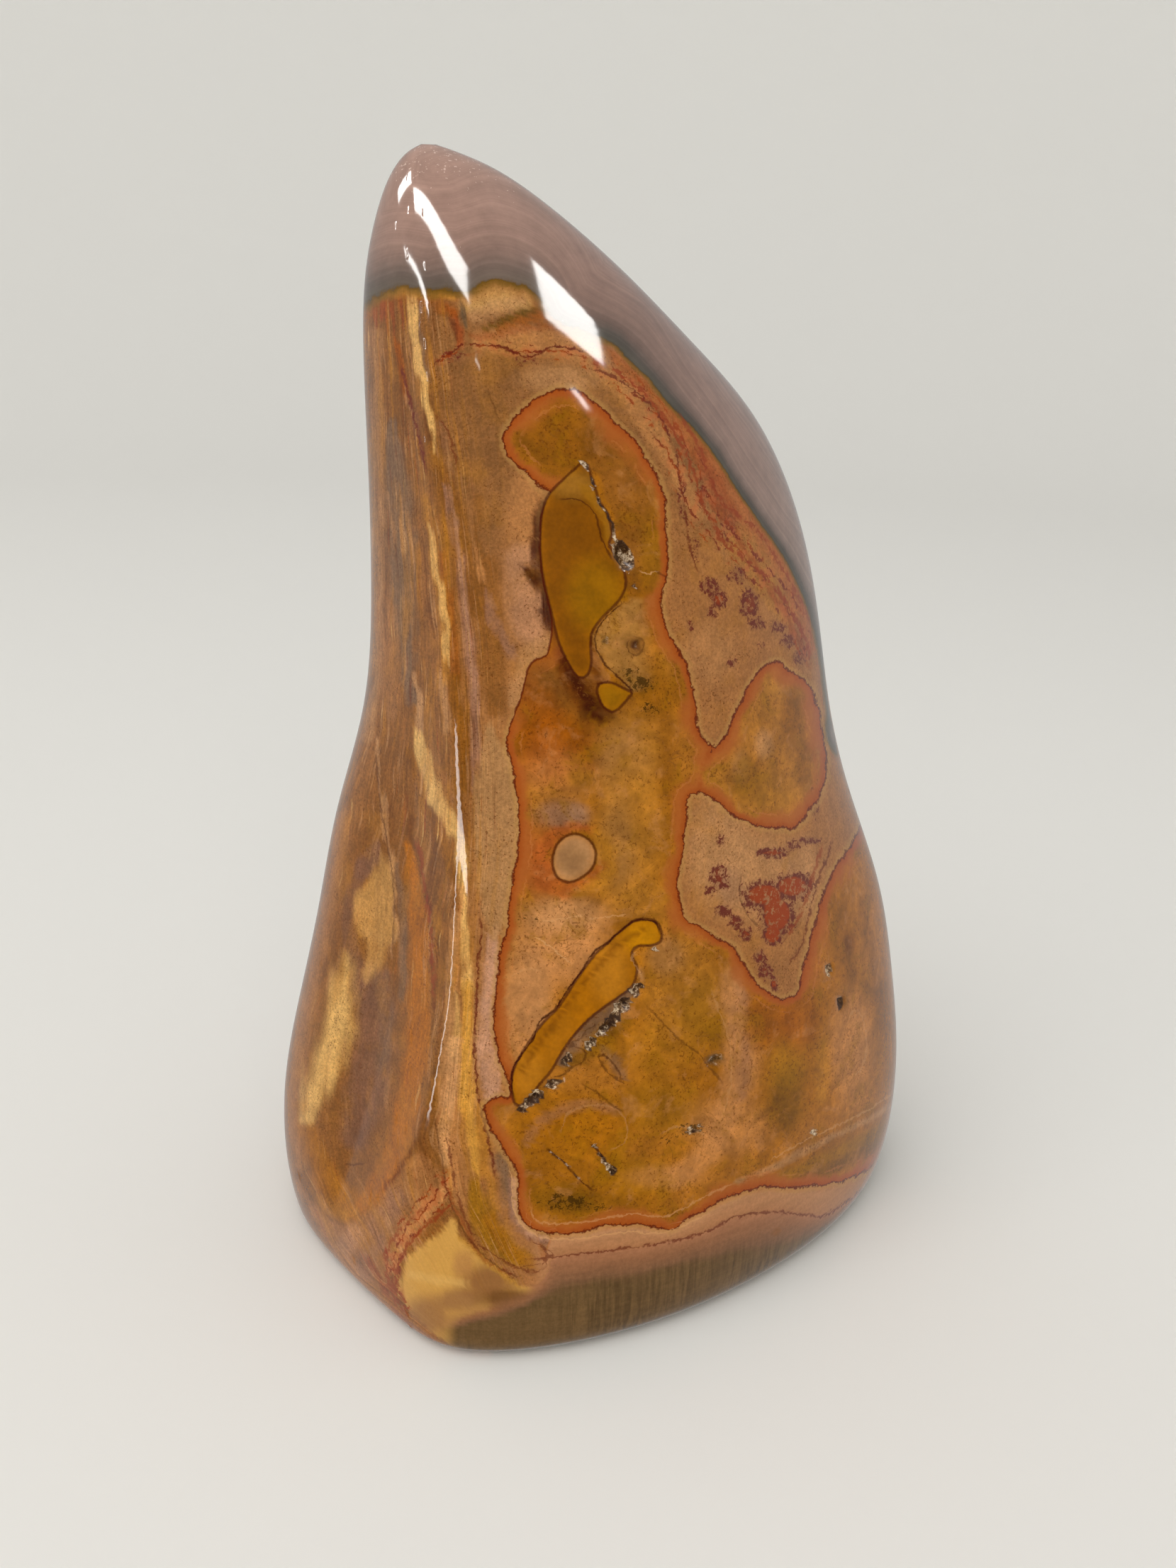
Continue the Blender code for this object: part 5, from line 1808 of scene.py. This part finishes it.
def body_looks(recipe, colour, wobble):
    """The amber body with its frilled wine line and its orange rim."""
    ground = body_ground(recipe)
    breadth = recipe.rise(recipe.grain(7.0, 2.0), 0.35, 0.65, 0.55, 1.35)
    weight = recipe.rise(recipe.grain(1.1, 2.0), 0.3, 0.7, 0.16, 0.34)
    rimmed = recipe.share("rim_glow")
    frilled = recipe.times(wobble, recipe.rise(rimmed, 0.1, 0.9, 0.25, 1.0))
    inside = recipe.plus(recipe.share("body"), frilled)
    pale = recipe.times(recipe.rise(inside, -1.1, -0.3, 0.0, 0.45), recipe.rise(inside, 0.0, -0.1))
    colour = recipe.blend(colour, HALO_PALE, recipe.times(pale, rimmed))
    glow = recipe.rise(recipe.math("DIVIDE", inside, breadth), 2.7, 0.9)
    filled = recipe.blend(ground, ORANGE, recipe.times(recipe.times(glow, rimmed), 0.85))
    edge = recipe.rise(inside, 1.3, 0.1, 0.0, 0.5)
    filled = recipe.blend(filled, RIM_RUST, recipe.times(edge, rimmed))
    line = recipe.rise(recipe.math("ABSOLUTE", recipe.plus(inside, -2.1)), 0.2, 0.05, 0.0, 0.35)
    line = recipe.times(line, recipe.rise(recipe.grain(5.0), 0.45, 0.55))
    filled = recipe.blend(filled, RIM_PALE, recipe.times(line, rimmed))
    colour = recipe.blend(colour, filled, recipe.rise(inside, -0.05, 0.05))
    rim = recipe.rise(recipe.math("ABSOLUTE", inside), weight, 0.06)
    return recipe.blend(colour, WINE, recipe.times(rim, 0.85))


def inset_looks(recipe, colour, wobble):
    """The insets of clear amber in the body, each with its dark rim."""
    inside = recipe.plus(recipe.share("inset"), recipe.times(wobble, 0.22))
    clear = recipe.mottled(recipe.colour("inset_colour"), recipe.grain(3.0, 4.0), 0.86, 1.14)
    clear = recipe.mottled(clear, recipe.grain(0.5, 3.0), 0.93, 1.07)
    colour = recipe.blend(colour, clear, recipe.rise(inside, -0.08, 0.08))
    rim = recipe.rise(recipe.math("ABSOLUTE", recipe.plus(inside, 0.12)), 0.4, 0.08)
    return recipe.blend(colour, INSET_RIM, recipe.times(rim, 0.75))


def line_looks(recipe, colour, name, ink, width, strength, jag=0.8, gaps=0.2):
    """A crisp line with a slight waver and some gaps."""
    off = recipe.math("ABSOLUTE", recipe.plus(recipe.share(name), recipe.waver(jag, 1.0, 4.0, 0.65)))
    breadth = recipe.rise(recipe.grain(1.5), 0.35, 0.6, 0.5 * width, 1.5 * width)
    line = recipe.rise(off, breadth, 0.3 * width)
    shows = recipe.times(line, recipe.share(name + "_shows"))
    broken = recipe.rise(recipe.grain(1.2, 2.0), 0.36, 0.46, 1.0 - gaps, 1.0)
    return recipe.blend(colour, ink, recipe.times(recipe.times(shows, broken), strength))


def crystal_looks(recipe, colour, crystal):
    """The dark and sparkling crystals in the open pits."""
    clumps = recipe.rise(recipe.grain(1.7, 2.0), 0.35, 0.65, -0.12, 0.1)
    sparkle = recipe.ramp(recipe.plus(recipe.grain(0.4, 4.0, 0.7), clumps), CRYSTAL_COLOURS)
    return recipe.blend(colour, sparkle, recipe.rise(crystal, 0.15, 0.5, 0.0, 0.9))


def jasper():
    """The polished jasper."""
    recipe = Recipe("polished_jasper_bands")
    colour = field_looks(recipe)
    colour = vein_looks(recipe, colour)
    colour = foot_looks(recipe, colour)
    colour = cap_looks(recipe, colour)
    colour = line_looks(recipe, colour, "rust", RUST_LINE, 0.42, 0.85, 2.2, 0.8)
    colour = line_looks(recipe, colour, "thread", THREAD_WINE, 0.26, 0.9, 1.7, 0.7)
    wobble = recipe.plus(recipe.waver(1.3, 2.2, 3.0, 0.55), recipe.waver(0.95, 0.42, 2.5, 0.6))
    colour = body_looks(recipe, colour, wobble)
    colour = inset_looks(recipe, colour, wobble)
    colour = line_looks(recipe, colour, "pale", PALE_LINE, 0.18, 0.75, 1.3)
    colour = line_looks(recipe, colour, "crack", CRACK_BROWN, 0.22, 0.9)
    crystal = recipe.share("crystal")
    colour = crystal_looks(recipe, colour, crystal)
    recipe.feed(recipe.surface.inputs["Base Color"], colour)
    rough = recipe.rise(crystal, 0.1, 0.5, POLISH_ROUGHNESS, CRYSTAL_ROUGHNESS)
    recipe.feed(recipe.surface.inputs["Roughness"], rough)
    recipe.feed(recipe.surface.inputs["IOR"], STONE_IOR)
    return recipe.material


# The studio. Each panel hangs one metre over the stone's upper part: its middle, length, width and
# turn are metres and degrees.
PANELS_OVER = (-0.0195, -0.00535, 0.15)
PANELS = (
    ("long_panel", (-0.43, -0.29), 0.95, 0.22, -33.5),
    ("right_panel", (0.58, -0.24), 0.27, 0.33, 6.0),
    ("left_panel", (-1.04, 0.32), 0.6, 0.2, -18.0),
    ("far_left_panel", (-1.37, -0.355), 0.63, 0.1, -50.8),
    ("front_strip", (-0.08, -0.97), 0.16, 0.017, -10.0),
    ("front_right_panel", (0.67, -0.85), 0.15, 0.035, -41.0),
)
PANEL_RADIANCE = 18.0
WALL_WARMTH = (1.0, 0.985, 0.955)
SKY_PLACE = (-0.55, -0.75, 1.3)
SKY_SIZE = 1.4
SKY_RADIANCE = 1.55
FILL_PLACE = (0.14, -1.05, 0.62)
FILL_SIZE = 0.6
FILL_RADIANCE = 1.5
RIDGE_CARD_WAY = (-0.8, -0.6, -0.16)
RIDGE_CARD_FROM = (-0.018, -0.02, 0.075)
RIDGE_CARD_AWAY = 0.8
RIDGE_CARD_SIZE = (0.13, 0.24)
RIDGE_CARD_RADIANCE = 8.0
AMBIENT = 0.48
MIRRORED_BEFORE = 0.05
MIRRORED_BEHIND = 0.45
COVE_RADIUS = 1.6
COVE_HEIGHT = 1.0
COVE_FILLET = 0.7
COVE_COLOUR = (0.93, 0.925, 0.9, 1.0)


def set_camera():
    """The camera, where the photograph was taken from."""
    bpy.ops.object.camera_add(location=CAMERA_PLACE, rotation=CAMERA_TURN)
    camera = bpy.context.object
    camera.name = "photo_camera"
    camera.data.sensor_width = SENSOR
    camera.data.lens = SENSOR * FOCAL_LENGTH_PX / PHOTO_HEIGHT
    camera.data.clip_start = 0.01
    bpy.context.scene.camera = camera


def make_cove():
    """The floor, which curves up into a round wall."""
    bpy.ops.mesh.primitive_cylinder_add(
        vertices=96, radius=COVE_RADIUS, depth=COVE_HEIGHT, location=(0.0, 0.0, COVE_HEIGHT / 2)
    )
    cove = bpy.context.object
    cove.name = "cove"
    mesh = cove.data
    bpy.ops.object.mode_set(mode="EDIT")
    bpy.ops.mesh.select_all(action="DESELECT")
    bpy.ops.object.mode_set(mode="OBJECT")
    for face in mesh.polygons:
        face.select = face.normal.z > 0.5
    bpy.ops.object.mode_set(mode="EDIT")
    bpy.ops.mesh.select_mode(type="FACE")
    bpy.ops.mesh.delete(type="FACE")
    bpy.ops.mesh.select_mode(type="EDGE")
    bpy.ops.object.mode_set(mode="OBJECT")
    for edge in mesh.edges:
        edge.select = all(mesh.vertices[number].co.z < 0 for number in edge.vertices)
    bpy.ops.object.mode_set(mode="EDIT")
    bpy.ops.mesh.bevel(offset=COVE_FILLET, segments=12, profile=0.5)
    bpy.ops.mesh.select_all(action="SELECT")
    bpy.ops.mesh.normals_make_consistent(inside=True)
    bpy.ops.object.mode_set(mode="OBJECT")
    bpy.ops.object.transform_apply(location=True, rotation=False, scale=False)
    mesh.shade_smooth()
    recipe = Recipe("cove_paper")
    recipe.feed(recipe.surface.inputs["Base Color"], COVE_COLOUR)
    recipe.feed(recipe.surface.inputs["Roughness"], 0.9)
    recipe.feed(recipe.surface.inputs["Specular IOR Level"], 0.0)
    mesh.materials.append(recipe.material)
    cove.visible_glossy = False


def area_light(name, place, turn, length, width, radiance):
    """A flat light that shines with the given strength."""
    bpy.ops.object.light_add(type="AREA", location=place, rotation=turn)
    light = bpy.context.object
    light.name = name
    light.data.shape = "RECTANGLE"
    light.data.size = length
    light.data.size_y = width
    light.data.energy = radiance * np.pi * length * width
    light.data.color = WALL_WARMTH
    return light


def hang_panels():
    """The light panels overhead, which the polish mirrors, and a wide soft light."""
    for name, (x, y), length, width, turn in PANELS:
        place = Vector(PANELS_OVER) + Vector((x, y, 1.0))
        turned = (0.0, 0.0, np.radians(turn))
        panel = area_light(name, place, turned, length, width, PANEL_RADIANCE)
        panel.visible_diffuse = False
    for name, place, size, radiance in (
        ("soft_sky", SKY_PLACE, SKY_SIZE, SKY_RADIANCE),
        ("front_fill", FILL_PLACE, FILL_SIZE, FILL_RADIANCE),
    ):
        turned = Vector(place).to_track_quat("Z", "Y").to_euler()
        light = area_light(name, place, turned, size, size, radiance)
        light.visible_glossy = False
    way = Vector(RIDGE_CARD_WAY).normalized()
    place = Vector(RIDGE_CARD_FROM) + way * RIDGE_CARD_AWAY
    turned = way.to_track_quat("Z", "Y").to_euler()
    card = area_light("ridge_card", place, turned, *RIDGE_CARD_SIZE, RIDGE_CARD_RADIANCE)
    card.visible_diffuse = False


def set_room():
    """An even light all round, and a dim room before the stone for the polish to mirror."""
    world = bpy.data.worlds.new("room")
    bpy.context.scene.world = world
    world.use_nodes = True
    nodes, links = world.node_tree.nodes, world.node_tree.links
    way = nodes.new("ShaderNodeTexCoord").outputs["Generated"]
    parts = nodes.new("ShaderNodeSeparateXYZ")
    links.new(way, parts.inputs[0])
    dim = nodes.new("ShaderNodeMapRange")
    dim.interpolation_type = "SMOOTHSTEP"
    for socket, value in zip(dim.inputs[1:], (-0.75, 0.35, MIRRORED_BEFORE, MIRRORED_BEHIND)):
        socket.default_value = value
    links.new(parts.outputs["Y"], dim.inputs[0])
    ray = nodes.new("ShaderNodeLightPath")
    choice = nodes.new("ShaderNodeMix")
    choice.data_type = "FLOAT"
    choice.inputs[2].default_value = AMBIENT
    links.new(ray.outputs["Is Glossy Ray"], choice.inputs[0])
    links.new(dim.outputs[0], choice.inputs[3])
    background = nodes["Background"]
    background.inputs["Color"].default_value = WALL_WARMTH + (1.0,)
    links.new(choice.outputs[0], background.inputs["Strength"])
    bpy.context.scene.view_settings.view_transform = "Standard"


def main():
    """Makes the stone, marks it, and sets up the studio."""
    stone, turns = make_stone()
    mark_stone(stone, turns)
    open_pits(stone)
    stone.data.materials.append(jasper())
    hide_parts("jasper_freeform")
    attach(stone, "root")
    set_camera()
    make_cove()
    hang_panels()
    set_room()


main()
